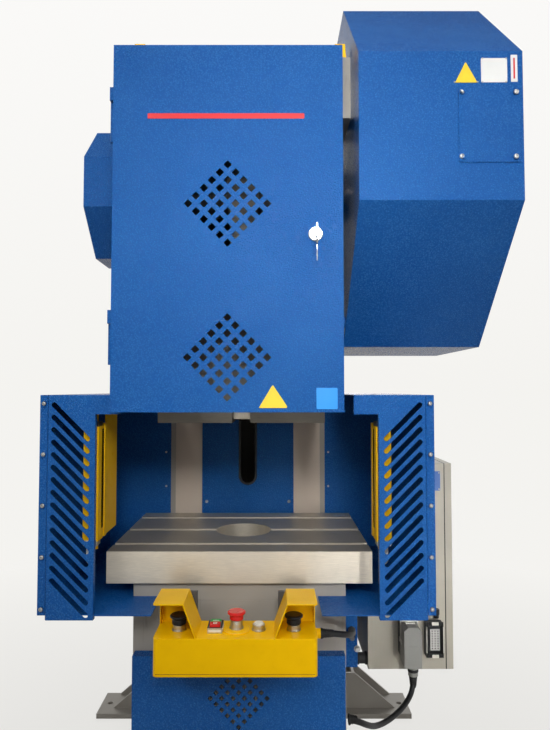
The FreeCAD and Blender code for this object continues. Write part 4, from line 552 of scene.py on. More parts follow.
def world():
    """Pale behind the machine and in its reflections, brighter above, and a softer light."""
    sky = bpy.data.worlds.new("studio")
    sky.use_nodes = True
    bpy.context.scene.world = sky
    nodes, links = sky.node_tree.nodes, sky.node_tree.links
    light = nodes["Background"]
    light.inputs["Color"].default_value = (0.96, 0.97, 1.0, 1)
    light.inputs["Strength"].default_value = WORLD_LIGHT
    direction = nodes.new("ShaderNodeTexCoord")
    parts = nodes.new("ShaderNodeSeparateXYZ")
    links.new(direction.outputs["Generated"], parts.inputs[0])
    rise = nodes.new("ShaderNodeValToRGB")
    rise.color_ramp.elements[0].color = BACKDROP
    rise.color_ramp.elements[1].color = ZENITH
    rise.color_ramp.elements[1].position = 0.57
    ceiling = rise.color_ramp.elements.new(0.68)
    ceiling.color = CEILING
    links.new(parts.outputs["Z"], rise.inputs[0])
    seen = nodes.new("ShaderNodeBackground")
    links.new(rise.outputs[0], seen.inputs["Color"])
    choice = nodes.new("ShaderNodeMixShader")
    links.new(seen_directly(nodes, links), choice.inputs[0])
    links.new(light.outputs[0], choice.inputs[1])
    links.new(seen.outputs[0], choice.inputs[2])
    links.new(choice.outputs[0], nodes["World Output"].inputs["Surface"])


world()
bpy.context.scene.view_settings.view_transform = "Standard"
print("world at", WORLD_LIGHT)

# %% Lamps
LAMPS = (
    ("key", (-1.7, -3.6, 3.3), (0.0, -0.6, 1.4), 1.0, 36, 180),
    ("right", (2.4, -3.2, 2.6), (0.1, -0.6, 1.4), 1.1, 24, 180),
    ("top", (0.2, -1.6, 4.4), (0.0, -0.5, 1.6), 1.6, 32, 180),
    ("near", (0.20, -2.6, 2.10), (0.16, -0.8, 1.70), 0.45, 4.4, 62),
    ("low", (1.1, -3.2, 0.8), (0.56, -0.2, 0.80), 0.5, 1.05, 24),
    ("rear", (0.4, 3.4, 3.0), (0.0, 0.0, 1.2), 2.4, 60, 180),
)


def lamp(name, place, aim, size, power, spread):
    data = bpy.data.lights.new(name, "AREA")
    data.size = size
    data.energy = power
    data.spread = math.radians(spread)
    light = bpy.data.objects.new(name, data)
    light.location = place
    light.rotation_mode = "QUATERNION"
    light.rotation_quaternion = (Vector(aim) - Vector(place)).to_track_quat("-Z", "Y")
    bpy.context.scene.collection.objects.link(light)


for setting in LAMPS:
    lamp(*setting)
print(len(LAMPS), "lamps")

# %% [markdown]
# ## The two cables
#
# The thick cable hangs from the plug on the cabinet to the gland in the frame, the thin one runs
# from the console's rear round the frame's corner to the cabinet's carrier. A cable is bent by
# its own weight only, so its line has no corners: the points here are the control points of a
# smooth NURBS curve, and a round bevel gives the sheath.

# %% Cables
CABINET_ROUTE = (
    (0.509, -0.235, 0.513), (0.509, -0.235, 0.487), (0.499, -0.248, 0.460),
    (0.468, -0.281, 0.441), (0.430, -0.318, 0.433), (0.394, -0.354, 0.434),
    (0.362, -0.392, 0.447), (0.337, -0.428, 0.471), (0.312, -0.449, 0.492),
    (0.284, -0.453, 0.500))
CONSOLE_ROUTE = (
    (0.187, -0.725, 0.838), (0.212, -0.725, 0.838), (0.237, -0.717, 0.832),
    (0.257, -0.697, 0.823), (0.268, -0.668, 0.815), (0.273, -0.630, 0.806),
    (0.277, -0.580, 0.790), (0.282, -0.525, 0.766), (0.288, -0.470, 0.738),
    (0.296, -0.410, 0.706), (0.305, -0.350, 0.676), (0.314, -0.295, 0.650),
    (0.321, -0.252, 0.630), (0.327, -0.218, 0.616), (0.327, -0.185, 0.616))


def cable(name, route, diameter, node):
    """A free cable on one smooth curve, in place of its plain tube."""
    curve = bpy.data.curves.new(name, "CURVE")
    curve.dimensions = "3D"
    curve.resolution_u = 12
    curve.bevel_depth = diameter / 2
    curve.bevel_resolution = 5
    curve.use_fill_caps = True
    spline = curve.splines.new("NURBS")
    spline.points.add(len(route) - 1)
    for point, place in zip(spline.points, route):
        point.co = (*place, 1)
    spline.order_u = 3
    spline.use_endpoint_u = True
    made = bpy.data.objects.new(name, curve)
    bpy.context.scene.collection.objects.link(made)
    curve.materials.append(SHEATH)
    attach(made, "frame")
    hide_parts(node)
    return made


cable("cabinet_cable_sheath", CABINET_ROUTE, 0.016, "cabinet_cable")
cable("console_cable_sheath", CONSOLE_ROUTE, 0.014, "console_cable")
print("two cables laid")

# %% [markdown]
# ## Tools for the small pieces
#
# Screws, caps, plates and levers are all built from three moves: a slab with broken edges, a
# profile turned round an axis, and a flat outline given a thickness. They work on a bmesh, so
# ten screws can be one light mesh. A small piece has to sit on what carries it, whatever side it
# is seen from. So its place isn't typed: a line is cast at the CAD piece, either straight or from
# the camera through a point of the picture, and the piece sits where the line lands.

# %% Where a line meets a CAD piece
def landing(node, start, direction):
    """The first point of a CAD piece on a line, and the way its surface faces there."""
    mesh = frame["nodes"][node].data
    tree = BVHTree.FromPolygons([corner.co for corner in mesh.vertices],
                                [tuple(face.vertices) for face in mesh.polygons])
    place, facing, _, _ = tree.ray_cast(Vector(start), Vector(direction).normalized())
    if place is None:
        raise ValueError(f"no part of {node} lies there")
    return place, facing


def box_corners(node):
    """The lowest and the highest corner of a CAD piece."""
    return [Vector(corner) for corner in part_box(node)]


def seen_at(node, across, down):
    """The point of a CAD piece that the camera sees at a place in the picture."""
    ahead = Vector((0, math.cos(CAMERA_TILT), math.sin(CAMERA_TILT)))
    upward = Vector((0, -math.sin(CAMERA_TILT), math.cos(CAMERA_TILT)))
    sight = ahead + Vector(((across - OPTICAL_CENTRE_X) / FOCAL_PIXELS, 0, 0))
    sight += upward * ((PICTURE_HEIGHT / 2 - down) / FOCAL_PIXELS)
    return landing(node, CAMERA_PLACE, sight)


print("door seen at", [round(value, 3) for value in seen_at("front_door", 230, 200)[0]])

# %% Slabs, turned profiles and outlines
def facing_along(place, direction):
    """A matrix that moves a shape to a place and turns its Z axis to a direction."""
    turn = Vector(direction).to_track_quat("Z", "Y").to_matrix().to_4x4()
    return Matrix.Translation(place) @ turn


def slab(shape, low, high, broken=0.0):
    """A block between two corners with its edges rounded off."""
    low, high = Vector(low), Vector(high)
    size = high - low
    corners = bmesh.ops.create_cube(shape, size=1.0)["verts"]
    bmesh.ops.scale(shape, vec=size, verts=corners)
    bmesh.ops.translate(shape, vec=(low + high) / 2, verts=corners)
    if broken:
        edges = list({edge for corner in corners for edge in corner.link_edges})
        bmesh.ops.bevel(shape, geom=edges, offset=broken, segments=2, affect="EDGES")


def turned(shape, profile, place, direction, sides=24):
    """A profile of (radius, height) pairs turned round a direction."""
    where = facing_along(place, direction)
    rings = []
    for radius, height in profile:
        if radius < 1e-6:
            rings.append([shape.verts.new(where @ Vector((0, 0, height)))])
            continue
        angles = [2 * math.pi * step / sides for step in range(sides)]
        rings.append([shape.verts.new(where @ Vector((radius * math.cos(angle),
                                                      radius * math.sin(angle), height)))
                      for angle in angles])
    for near, far in zip(rings, rings[1:]):
        for step in range(sides):
            after = (step + 1) % sides
            corners = [near[step % len(near)], near[after % len(near)],
                       far[after % len(far)], far[step % len(far)]]
            corners = list(dict.fromkeys(corners))
            if len(corners) > 2:
                shape.faces.new(corners)


def cut_out(shape, outline, thickness, where):
    """A flat outline of (x, y) pairs given a thickness, laid by a matrix."""
    below = [shape.verts.new(where @ Vector((x, y, 0))) for x, y in outline]
    above = [shape.verts.new(where @ Vector((x, y, thickness))) for x, y in outline]
    shape.faces.new(below[::-1])
    shape.faces.new(above)
    for step in range(len(outline)):
        after = (step + 1) % len(outline)
        shape.faces.new([below[step], below[after], above[after], above[step]])


def rounded_outline(width, height, radius, steps=5):
    """A rectangle with round corners, as (x, y) pairs about its middle."""
    pairs = []
    for corner, (side, up) in enumerate([(1, 1), (-1, 1), (-1, -1), (1, -1)]):
        for step in range(steps + 1):
            angle = math.pi / 2 * (corner + step / steps)
            pairs.append((side * (width / 2 - radius) + radius * math.cos(angle),
                          up * (height / 2 - radius) + radius * math.sin(angle)))
    return pairs


def piece(name, shape, material, body="frame", crease=35):
    """Turns a bmesh into an object with a finish, on a body and in its finish's slot."""
    bmesh.ops.recalc_face_normals(shape, faces=shape.faces[:])
    mesh = bpy.data.meshes.new(name)
    shape.to_mesh(mesh)
    shape.free()
    mesh.materials.append(material)
    made = bpy.data.objects.new(name, mesh)
    bpy.context.scene.collection.objects.link(made)
    mesh.polygons.foreach_set("use_smooth", [True] * len(mesh.polygons))
    mesh.set_sharp_from_angle(angle=math.radians(crease))
    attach(made, body)
    print(f"{name}: {len(mesh.polygons)} faces on {body}")
    return made


def blocks(name, material, corners, broken=0.0, body="frame"):
    """One piece of several slabs, each given by its lowest and highest corner."""
    shape = bmesh.new()
    for low, high in corners:
        slab(shape, low, high, broken)
    return piece(name, shape, material, body)


def turnings(name, material, profile, spots, sides=24, body="frame"):
    """One piece of equal turned parts, one for each (place, direction)."""
    shape = bmesh.new()
    for place, facing in spots:
        turned(shape, profile, place, facing, sides)
    return piece(name, shape, material, body)


# %% [markdown]
# ## Screws
#
# Every sheet is held by button-head screws with a hexagon socket. At this distance the eye reads
# three things: the bright rim, the dark socket and the small shadow round the head. The profile
# below has all three and is turned once for each screw. The flange screws of both side guards
# come from one guard's places in the picture, because the press is made symmetrically.

# %% Screws on the covers
def button_head(shape, place, facing, radius=0.0045):
    """A domed screw head with its socket, standing on a surface."""
    turned(shape, [(0, radius * 0.24), (radius * 0.36, radius * 0.24),
                   (radius * 0.42, radius * 0.62), (radius * 0.62, radius * 0.60),
                   (radius * 0.88, radius * 0.40), (radius, radius * 0.08), (radius, -0.0004)],
           place, facing, 18)


def screws(name, places, radius, material):
    shape = bmesh.new()
    for place, facing in places:
        button_head(shape, place, facing, radius)
    return piece(name, shape, material)


flange_heights = [0.903, 1.016, 1.129, 1.242, 1.355]
flange_places = [landing(f"guard_panel_{side}", (sign * 0.4305, -1.2, height), (0, 1, 0))
                 for side, sign in (("left", -1), ("right", 1)) for height in flange_heights]
screws("guard_flange_screws", flange_places, 0.0050, SCREW_GREY)

plate_places = [seen_at("guard_access_plate", across, down)
                for across in (462, 516.3) for down in (91.7, 156.2)]
screws("access_plate_screws", plate_places, 0.0058, PLATED)

panel_places = [landing("throat_panel", (x, -0.6, z), (0, 1, 0))
                for x in (-0.131, 0.131) for z in (1.030, 1.290)]
screws("throat_panel_screws", panel_places, 0.0050, PLATED)

cover_places = [landing("lower_cover", (x, -0.9, z), (0, 1, 0))
                for x in (-0.226, 0.226) for z in (0.075, 0.400)]
screws("lower_cover_screws", cover_places, 0.0046, SCREW_BLACK)

# %% [markdown]
# ## Light curtains
#
# A light curtain is a yellow aluminium profile with a dark window all along the side that faces
# its partner. A black cap closes its upper end under a steel bracket. Its lower end stands in a
# steel foot, where a thin wire clip holds the cable. The CAD profile stays, and these pieces are
# set on it.

# %% Windows, caps and brackets
def light_curtain(side, sign):
    low, high = box_corners(f"light_curtain_{side}")
    left, right, front = low.x, high.x, low.y
    axis, middle = (left + right) / 2, (front + high.y) / 2
    inner = left if sign > 0 else right
    window = bmesh.new()
    slab(window, (min(inner, inner + sign * 0.0008), middle - 0.009, 1.070),
         (max(inner, inner + sign * 0.0008), middle + 0.007, 1.296), 0.0003)
    slab(window, (left + 0.0135, front - 0.0006, 1.066),
         (left + 0.0160, front + 0.0010, 1.300), 0.0002)
    piece(f"curtain_window_{side}", window, LENS)
    cap = bmesh.new()
    slab(cap, (left - 0.0006, front - 0.0012, 1.302),
         (right + 0.0006, front + 0.030, 1.314), 0.0012)
    piece(f"curtain_caps_{side}", cap, BLACK_PLASTIC)
    bracket = bmesh.new()
    slab(bracket, (left + 0.001, front - 0.0006, 1.036),
         (right - 0.001, front + 0.026, 1.050), 0.0012)
    slab(bracket, (left + 0.008, front + 0.002, 1.012),
         (right - 0.008, front + 0.010, 1.037), 0.001)
    button_head(bracket, (axis, front + 0.002, 1.024), (0, -1, 0), 0.0036)
    slab(bracket, (left + 0.008, front + 0.004, 1.314),
         (right - 0.008, front + 0.012, 1.352), 0.001)
    button_head(bracket, (axis, front + 0.004, 1.338), (0, -1, 0), 0.0036)
    piece(f"curtain_bracket_{side}", bracket, PLATED)
    bend = []
    for step in range(15):
        angle = math.pi * (0.9 - 1.8 * step / 14)
        bend.append((axis + 0.009 * math.sin(angle), front + 0.005,
                     1.006 - 0.010 * math.cos(angle)))
    wire(f"curtain_clip_{side}", bend, 0.0011, PLATED)


def wire(name, points, radius, material, body="frame"):
    """A bent round wire through points."""
    data = bpy.data.curves.new(name, "CURVE")
    data.dimensions = "3D"
    data.bevel_depth = radius
    data.bevel_resolution = 3
    data.use_fill_caps = True
    line = data.splines.new("POLY")
    line.points.add(len(points) - 1)
    for control, point in zip(line.points, points):
        control.co = (*point, 1)
    data.materials.append(material)
    made = bpy.data.objects.new(name, data)
    bpy.context.scene.collection.objects.link(made)
    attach(made, body)
    return made


light_curtain("left", -1)
light_curtain("right", 1)

# %% [markdown]
# ## Blank plates
#
# Instruction plates on presses are thin printed sheets, riveted or glued to the cover. Here they
# stay blank: each is a sheet of coloured aluminium with round corners, a hair proud of the paint.

# %% Plates on the door and the guard
def blank_plate(name, node, across, down, outline, material, body, thickness=0.0007):
    place, facing = seen_at(node, across, down)
    shape = bmesh.new()
    upright = Matrix.Translation(place) @ Matrix.Rotation(math.pi / 2, 4, "X")
    cut_out(shape, outline, thickness, upright)
    return piece(name, shape, material, body)


def rounded_triangle(width, height, radius):
    """A triangle that stands on its base, with its three points rounded."""
    tips = [(-width / 2, -height / 2), (width / 2, -height / 2), (0, height / 2)]
    middle = Vector((0, -height / 6))
    pairs = []
    for tip, start in zip(tips, (180, 270, 50)):
        centre = Vector(tip) + (middle - Vector(tip)).normalized() * radius * 2
        for step in range(5):
            angle = math.radians(start + 30 + step * 20)
            pairs.append((centre.x + radius * math.cos(angle),
                          centre.y + radius * math.sin(angle)))
    return pairs


blank_plate("door_plate_yellow", "front_door", 273, 396,
            rounded_triangle(0.066, 0.052, 0.003), SIGN_YELLOW, "door")
blank_plate("door_plate_blue", "front_door", 327, 398.5,
            rounded_outline(0.046, 0.046, 0.002), SKY_BLUE, "door")
blank_plate("door_bar_red", "front_door", 226, 116,
            rounded_outline(0.345, 0.012, 0.002), SIGN_RED, "door")
blank_plate("guard_plate_yellow", "flywheel_guard", 465.8, 72.3,
            rounded_triangle(0.050, 0.047, 0.002), SIGN_YELLOW, "frame")
blank_plate("guard_plate_white", "flywheel_guard", 494, 70.3,
            rounded_outline(0.057, 0.054, 0.002), SIGN_WHITE, "frame")
blank_plate("guard_strip_white", "flywheel_guard", 514, 68.4,
            rounded_outline(0.0145, 0.060, 0.0015), SIGN_WHITE, "frame")
blank_plate("guard_strip_red", "flywheel_guard", 514, 68.4,
            rounded_outline(0.0035, 0.046, 0.0008), SIGN_RED, "frame", 0.0010)

plate_spots = [("flywheel_guard", 454.5, 82), ("flywheel_guard", 477.5, 82),
               ("flywheel_guard", 482.5, 58.5), ("flywheel_guard", 506, 58.5),
               ("flywheel_guard", 482.5, 82), ("flywheel_guard", 506, 82)]
turnings("plate_rivets", PLATED,
         [(0, 0.0022), (0.0012, 0.0019), (0.0020, 0.0009), (0.0021, -0.0002)],
         [seen_at(*spot) for spot in plate_spots], 12)

# %% [markdown]
# ## The operator's console
#
# Both hands press a black mushroom at the same time, so neither can be in the die. Between the
# two shrouds sit a double start and stop button, the emergency stop on its yellow disc and a
# ribbed reset knob. The CAD pieces move with their joints, so each detail rides on the same body
# as the cap that it sits on.

# %% Yellow disc and chrome collars
CONSOLE_TOP = 0.859
BUTTON_Y = -0.757
PALM_X, RESET_X = 0.126, 0.049
UP = (0, 0, 1)

turnings("stop_disc_yellow", YELLOW,
         [(0.0142, 0.0030), (0.0144, 0.0039), (0.0290, 0.0036), (0.0302, 0.0026),
          (0.0303, 0.0001)], [((0, BUTTON_Y, CONSOLE_TOP), UP)], 48)

rings = bmesh.new()
for across, foot in ((-PALM_X, 0), (PALM_X, 0), (0, 0.0035), (RESET_X, 0)):
    turned(rings, [(0.0137, foot), (0.0156, foot + 0.0003), (0.0156, foot + 0.0024),
                   (0.0148, foot + 0.0034), (0.0137, foot + 0.0034)],
           (across, BUTTON_Y, CONSOLE_TOP), UP, 32)
piece("button_rings", rings, PLATED)

# %% Double button's frame
STOP_CAP_X, STOP_CAP_Y = -0.046, -0.767
blocks("double_button_frame", BLACK_PLASTIC, (
    ((-0.0622, -0.7788, 0.8700), (-0.0588, -0.7352, 0.8716)),
    ((-0.0332, -0.7788, 0.8700), (-0.0298, -0.7352, 0.8716)),
    ((-0.0590, -0.7788, 0.8700), (-0.0330, -0.7760, 0.8716)),
    ((-0.0590, -0.7380, 0.8700), (-0.0330, -0.7352, 0.8716)),
    ((-0.0590, -0.7583, 0.8700), (-0.0330, -0.7557, 0.8714))), 0.0006)
blocks("double_button_base", WHITE_PLASTIC,
       [((-0.0625, -0.7790, 0.8592), (-0.0295, -0.7350, 0.8690))], 0.0024)

# %% Ribs round the palm heads and the reset knob
def ribbed_ring(name, across, radius, low, high, count, width, material, body):
    shape = bmesh.new()
    for rib in range(count):
        angle = 2 * math.pi * rib / count
        outward = Vector((math.cos(angle), math.sin(angle), 0))
        where = Matrix.Translation(Vector((across, BUTTON_Y, 0)) + outward * radius)
        where = where @ Matrix.Rotation(angle, 4, "Z")
        corners = bmesh.ops.create_cube(shape, size=1.0)["verts"]
        bmesh.ops.scale(shape, vec=(0.0012, width, high - low), verts=corners)
        bmesh.ops.translate(shape, vec=(0, 0, (low + high) / 2), verts=corners)
        bmesh.ops.transform(shape, matrix=where, verts=corners)
    return piece(name, shape, material, body)


for side, across in (("left", -PALM_X), ("right", PALM_X)):
    low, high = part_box(f"palm_button_{side}")
    ribbed_ring(f"palm_ribs_{side}", across, 0.0151, low[2] + 0.009, low[2] + 0.0165, 28, 0.0012,
                BLACK_PLASTIC, f"palm_{side}")
    turnings(f"palm_inlay_{side}", BLACK_PLASTIC,
             [(0, high[2] + 0.0002), (0.0070, high[2] + 0.0002), (0.0074, high[2] - 0.0004)],
             [((across, BUTTON_Y, 0), UP)], 32, f"palm_{side}")
ribbed_ring("reset_ribs", RESET_X, 0.0095, 0.8672, 0.8738, 24, 0.0010, WHITE_PLASTIC, "reset")

# %% Words stay off the caps, a raised bar and ring mark them
blocks("start_mark", WHITE_PLASTIC,
       [((-0.0530, -0.7486, 0.8748), (-0.0390, -0.7454, 0.8754))], 0.0002, "start")
turnings("stop_mark", WHITE_PLASTIC,
         [(0.0028, 0.8770), (0.0028, 0.8775), (0.0044, 0.8775), (0.0044, 0.8770)],
         [((STOP_CAP_X, STOP_CAP_Y, 0), UP)], 24, "stop")

# %% Painted shadow of the seam along the console's lower edge
blocks("console_seam_painted_shadow", SEAM_PAINTED_SHADOW,
       [((-0.1690, -0.8073, 0.7852), (0.1690, -0.8066, 0.7864))], 0.0003)
blocks("console_lip", YELLOW,
       [((-0.1700, -0.8068, 0.7800), (0.1700, -0.8040, 0.7838))], 0.0009)

# %% [markdown]
# ## Strain reliefs
#
# Where a cable leaves a housing its rubber sleeve is thick at the wall and gets thinner along
# the cable, so that a bend is shared out. Each sleeve is a turned profile with ring grooves.

# %% Sleeves at the cables' ends
def sleeve(name, place, direction, length, wide, narrow, rings=6):
    profile = [(wide * 0.9, -0.0005), (wide, 0.0005), (wide, length * 0.14)]
    for ring in range(rings):
        start = 0.18 + 0.78 * ring / rings
        for share, inset in ((0.0, 1.0), (0.55, 1.0), (0.6, 0.88), (0.95, 0.88)):
            along = start + share * 0.78 / rings
            radius = (wide * 0.94 + (narrow - wide * 0.94) * along) * inset
            profile.append((max(radius, narrow * 0.96), length * along))
    profile.append((narrow * 0.9, length))
    return turnings(name, RUBBER, profile, [(place, direction)], 28)


sleeve("plug_sleeve", (0.509, -0.235, 0.5335), (0, 0, -1), 0.056, 0.0162, 0.0092, 7)
sleeve("console_sleeve", (0.187, -0.725, 0.838), (1, 0, 0), 0.030, 0.0115, 0.0080)
sleeve("frame_gland_sleeve", (0.283, -0.453, 0.500), (1, 0, 0), 0.024, 0.0140, 0.0092, 4)
sleeve("carrier_gland_sleeve", (0.327, -0.186, 0.616), (0, -1, 0), 0.026, 0.0125, 0.0080, 4)

# %% [markdown]
# ## Switch cabinet
#
# The cabinet's door closes against a black foam gasket, which shows as a dark line all round. In
# front it carries two heavy-duty connectors: one with its hood latched on, one open, so that the
# pale contact insert is seen in its black frame.

# %% Gasket and blank plate
cabinet_low, cabinet_high = box_corners("cabinet_body")
door_low, door_high = box_corners("cabinet_door")
SEAL_NEAR, SEAL_FAR = door_low.x - 0.0032, door_low.x - 0.0002
gasket = bmesh.new()
for low, high in (
        ((cabinet_low.y - 0.0004, cabinet_low.z), (cabinet_low.y + 0.0020, cabinet_high.z)),
        ((cabinet_high.y - 0.0020, cabinet_low.z), (cabinet_high.y + 0.0004, cabinet_high.z)),
        ((cabinet_low.y, cabinet_low.z - 0.0004), (cabinet_high.y, cabinet_low.z + 0.0020)),
        ((cabinet_low.y, cabinet_high.z - 0.0020), (cabinet_high.y, cabinet_high.z + 0.0004))):
    slab(gasket, (SEAL_NEAR, *low), (SEAL_FAR, *high), 0.0003)
piece("cabinet_gasket", gasket, RUBBER, "frame")

FRONT = cabinet_low.y
plate = bmesh.new()
cut_out(plate, rounded_outline(0.060, 0.062, 0.003), 0.0008,
        Matrix.Translation((0.589, FRONT, 1.092)) @ Matrix.Rotation(math.pi / 2, 4, "X"))
piece("cabinet_blank_plate", plate, FADED_BLUE)
turnings("cabinet_plate_rivets", PLATED,
         [(0, 0.0026), (0.0016, 0.0022), (0.0026, 0.0008), (0.0027, 0.0004)],
         [((across, FRONT, up), (0, -1, 0)) for across, up in
          ((0.563, 1.066), (0.615, 1.066), (0.563, 1.118), (0.615, 1.118))], 14)

# %% Open connector
bases_low, bases_high = box_corners("connector_bases")
FACE = bases_low.y
MIDDLE = bases_high.x - 0.0270
CENTRE_Z = (bases_low.z + bases_high.z) / 2
rim = bmesh.new()
for low, high in (((-0.0262, -0.0545), (-0.0205, 0.0545)), ((0.0205, -0.0545), (0.0262, 0.0545)),
                  ((-0.0205, -0.0545), (0.0205, -0.0440)), ((-0.0205, 0.0440), (0.0205, 0.0545))):
    slab(rim, (MIDDLE + low[0], FACE - 0.0030, CENTRE_Z + low[1]),
         (MIDDLE + high[0], FACE + 0.0020, CENTRE_Z + high[1]), 0.0010)
piece("socket_rim", rim, BLACK_PLASTIC)
bezel = bmesh.new()
for side in (-1, 1):
    slab(bezel, (MIDDLE + side * 0.0262 - 0.0012, FACE - 0.0050, CENTRE_Z - 0.040),
         (MIDDLE + side * 0.0262 + 0.0012, FACE + 0.0040, CENTRE_Z + 0.040), 0.0006)
    slab(bezel, (MIDDLE - 0.0100, FACE - 0.0046, CENTRE_Z + side * 0.0500 - 0.0050),
         (MIDDLE + 0.0110, FACE - 0.0010, CENTRE_Z + side * 0.0500 + 0.0050), 0.0008)
piece("socket_latches", bezel, WHITE_PLASTIC)
blocks("socket_insert", GREY_PLASTIC_PALE,
       [((MIDDLE - 0.0150, FACE - 0.0014, CENTRE_Z - 0.0330),
         (MIDDLE + 0.0150, FACE + 0.0010, CENTRE_Z + 0.0330))], 0.0008)
CONTACT_PITCH_X, CONTACT_PITCH_Z = 0.0090, 0.0076
turnings("socket_contacts", BLACK_PLASTIC, [(0, 0.0017), (0.0017, 0.0017), (0.0021, 0.0012)],
         [((MIDDLE - 0.0090 + column * CONTACT_PITCH_X, FACE,
            CENTRE_Z - 0.0266 + row * CONTACT_PITCH_Z), (0, -1, 0))
          for row in range(8) for column in range(3)], 10)
gland = bmesh.new()
turned(gland, [(0, 0.0), (0.0088, 0.0), (0.0092, 0.0010), (0.0092, 0.0090), (0.0075, 0.0102),
               (0.0108, 0.0104), (0.0108, 0.0250), (0.0090, 0.0270), (0, 0.0270)],
       (MIDDLE + 0.010, FRONT - 0.0135, bases_high.z + 0.0040), UP, 24)
slab(gland, (MIDDLE + 0.001, FRONT - 0.0040, bases_high.z + 0.008),
     (MIDDLE + 0.019, FRONT + 0.0010, bases_high.z + 0.028), 0.001)
piece("cabinet_gland", gland, BLACK_PLASTIC)

# %% Latch over the plugged hood
plug_low, plug_high = box_corners("cable_plug")
latch = bmesh.new()
for side in (plug_low.x - 0.0006, plug_high.x - 0.0018):
    slab(latch, (side, FACE - 0.0250, CENTRE_Z - 0.0080),
         (side + 0.0024, FACE + 0.0120, CENTRE_Z + 0.0080), 0.0008)
    slab(latch, (side, FACE - 0.0090, CENTRE_Z + 0.0060),
         (side + 0.0024, FACE - 0.0010, plug_high.z + 0.0040), 0.0008)
slab(latch, (plug_low.x, FACE - 0.0160, plug_high.z + 0.0010),
     (plug_high.x, FACE - 0.0010, plug_high.z + 0.0040), 0.0010)
slab(latch, (plug_low.x + 0.012, FACE - 0.0300, plug_high.z - 0.0010),
     (plug_high.x - 0.012, FACE - 0.0140, plug_high.z + 0.0026), 0.0010)
piece("plug_latch", latch, PLATED)
hood_lines = bmesh.new()
for share in (0.30, 0.62):
    height = plug_low.z + (plug_high.z - plug_low.z) * share
    slab(hood_lines, (plug_low.x + 0.010, plug_low.y - 0.0006, height),
         (plug_high.x - 0.010, plug_low.y + 0.0020, height + 0.0022), 0.0006)
piece("hood_ridges", hood_lines, HOOD_GREY)

# %% [markdown]
# ## The door's key
#
# The lock is a chromed barrel with the key left in it. The key's black bow stands upright, and a
# second key hangs from it on a split ring. All of it turns with the lock, so it rides on the
# key's body.

# %% Key, ring and spare key
key_low, key_high = box_corners("door_key")
KEY_X, KEY_Z = (key_low.x + key_high.x) / 2, (key_low.z + key_high.z) / 2
turnings("lock_rosette", PLATED,
         [(0.0142, 0.0), (0.0160, 0.0006), (0.0158, 0.0026), (0.0138, 0.0042),
          (0.0098, 0.0046)], [((KEY_X, -0.8035, KEY_Z), (0, -1, 0))], 32, "key")
split_ring = [(KEY_X, -0.8440 + 0.0060 * math.sin(2 * math.pi * step / 24),
               KEY_Z - 0.0150 + 0.0090 * math.cos(2 * math.pi * step / 24)) for step in range(25)]
wire("key_ring", split_ring, 0.0008, PLATED, "key")
spare = bmesh.new()
side_on = Matrix.Translation((KEY_X - 0.0011, -0.8440, KEY_Z - 0.0270)) @ Matrix(
    ((0, 0, 1, 0), (1, 0, 0, 0), (0, 1, 0, 0), (0, 0, 0, 1)))
cut_out(spare, rounded_outline(0.012, 0.016, 0.004), 0.0028, side_on)
piece("spare_key_bow", spare, BLACK_PLASTIC, "key")
blade = bmesh.new()
teeth = [(-0.0028, 0.0), (0.0028, 0.0), (0.0028, -0.0300), (0.0, -0.0330), (-0.0016, -0.0300),
         (-0.0028, -0.0270), (-0.0014, -0.0240), (-0.0028, -0.0205), (-0.0012, -0.0170),
         (-0.0028, -0.0140)]
cut_out(blade, teeth, 0.0018, Matrix.Translation((0.0005, 0, -0.0070)) @ side_on)
piece("spare_key_blade", blade, PLATED, "key")

# %% [markdown]
# ## Motor
#
# The motor is a standard ribbed one: thin cast fins along the barrel, a pressed cowl with slots
# over the fan, a terminal box on top and two rails bolted to the head. The fins are thin blocks
# set round the barrel, left out under the box and above the feet, as a foundry does.

# %% Fins, cowl, terminal box and rails
MOTOR_Y, MOTOR_Z = -0.060, 2.265


def round_motor(shape, angle, low, high):
    """A block given by (along, out, across) corners, turned round the motor's axis."""
    corners = bmesh.ops.create_cube(shape, size=1.0)["verts"]
    size = Vector(high) - Vector(low)
    bmesh.ops.scale(shape, vec=(size.x, size.z, size.y), verts=corners)
    bmesh.ops.translate(shape, vec=((low[0] + high[0]) / 2, (low[2] + high[2]) / 2,
                                    (low[1] + high[1]) / 2), verts=corners)
    spin = Matrix.Translation((0, MOTOR_Y, MOTOR_Z)) @ Matrix.Rotation(angle, 4, "X")
    bmesh.ops.transform(shape, matrix=spin, verts=corners)


fins = bmesh.new()
for step in range(44):
    angle = 360 * step / 44
    if 35 < angle < 130 or 230 < angle < 325:
        round_motor(fins, math.radians(angle), (-0.088, 0.094, -0.0012), (0.138, 0.1045, 0.0012))
piece("motor_fins", fins, MOTOR_GREY)

slots = bmesh.new()
for step in range(24):
    round_motor(slots, 2 * math.pi * step / 24, (-0.1606, 0.034, -0.0016),
                (-0.1590, 0.078, 0.0016))
turned(slots, [(0.0, 0.0006), (0.020, 0.0006), (0.021, -0.001)],
       (-0.160, MOTOR_Y, MOTOR_Z), (-1, 0, 0), 32)
piece("cowl_slots", slots, BLACK_PLASTIC)

LID_TOP = 2.3830
blocks("terminal_lid", MOTOR_GREY, [((-0.044, -0.109, 2.3745), (0.064, -0.011, LID_TOP))], 0.003)
turnings("terminal_screws", PLATED,
         [(0, 0.0018), (0.0030, 0.0018), (0.0038, 0.0006), (0.0038, -0.001)],
         [((across, back, LID_TOP), UP) for across in (-0.036, 0.056)
          for back in (-0.101, -0.019)], 14)
turnings("motor_gland", BLACK_PLASTIC,
         [(0.0140, -0.002), (0.0140, 0.006), (0.0115, 0.007), (0.0115, 0.018),
          (0.0080, 0.021), (0, 0.021)], [((-0.0400, MOTOR_Y, 2.352), (-1, 0, 0))], 20)


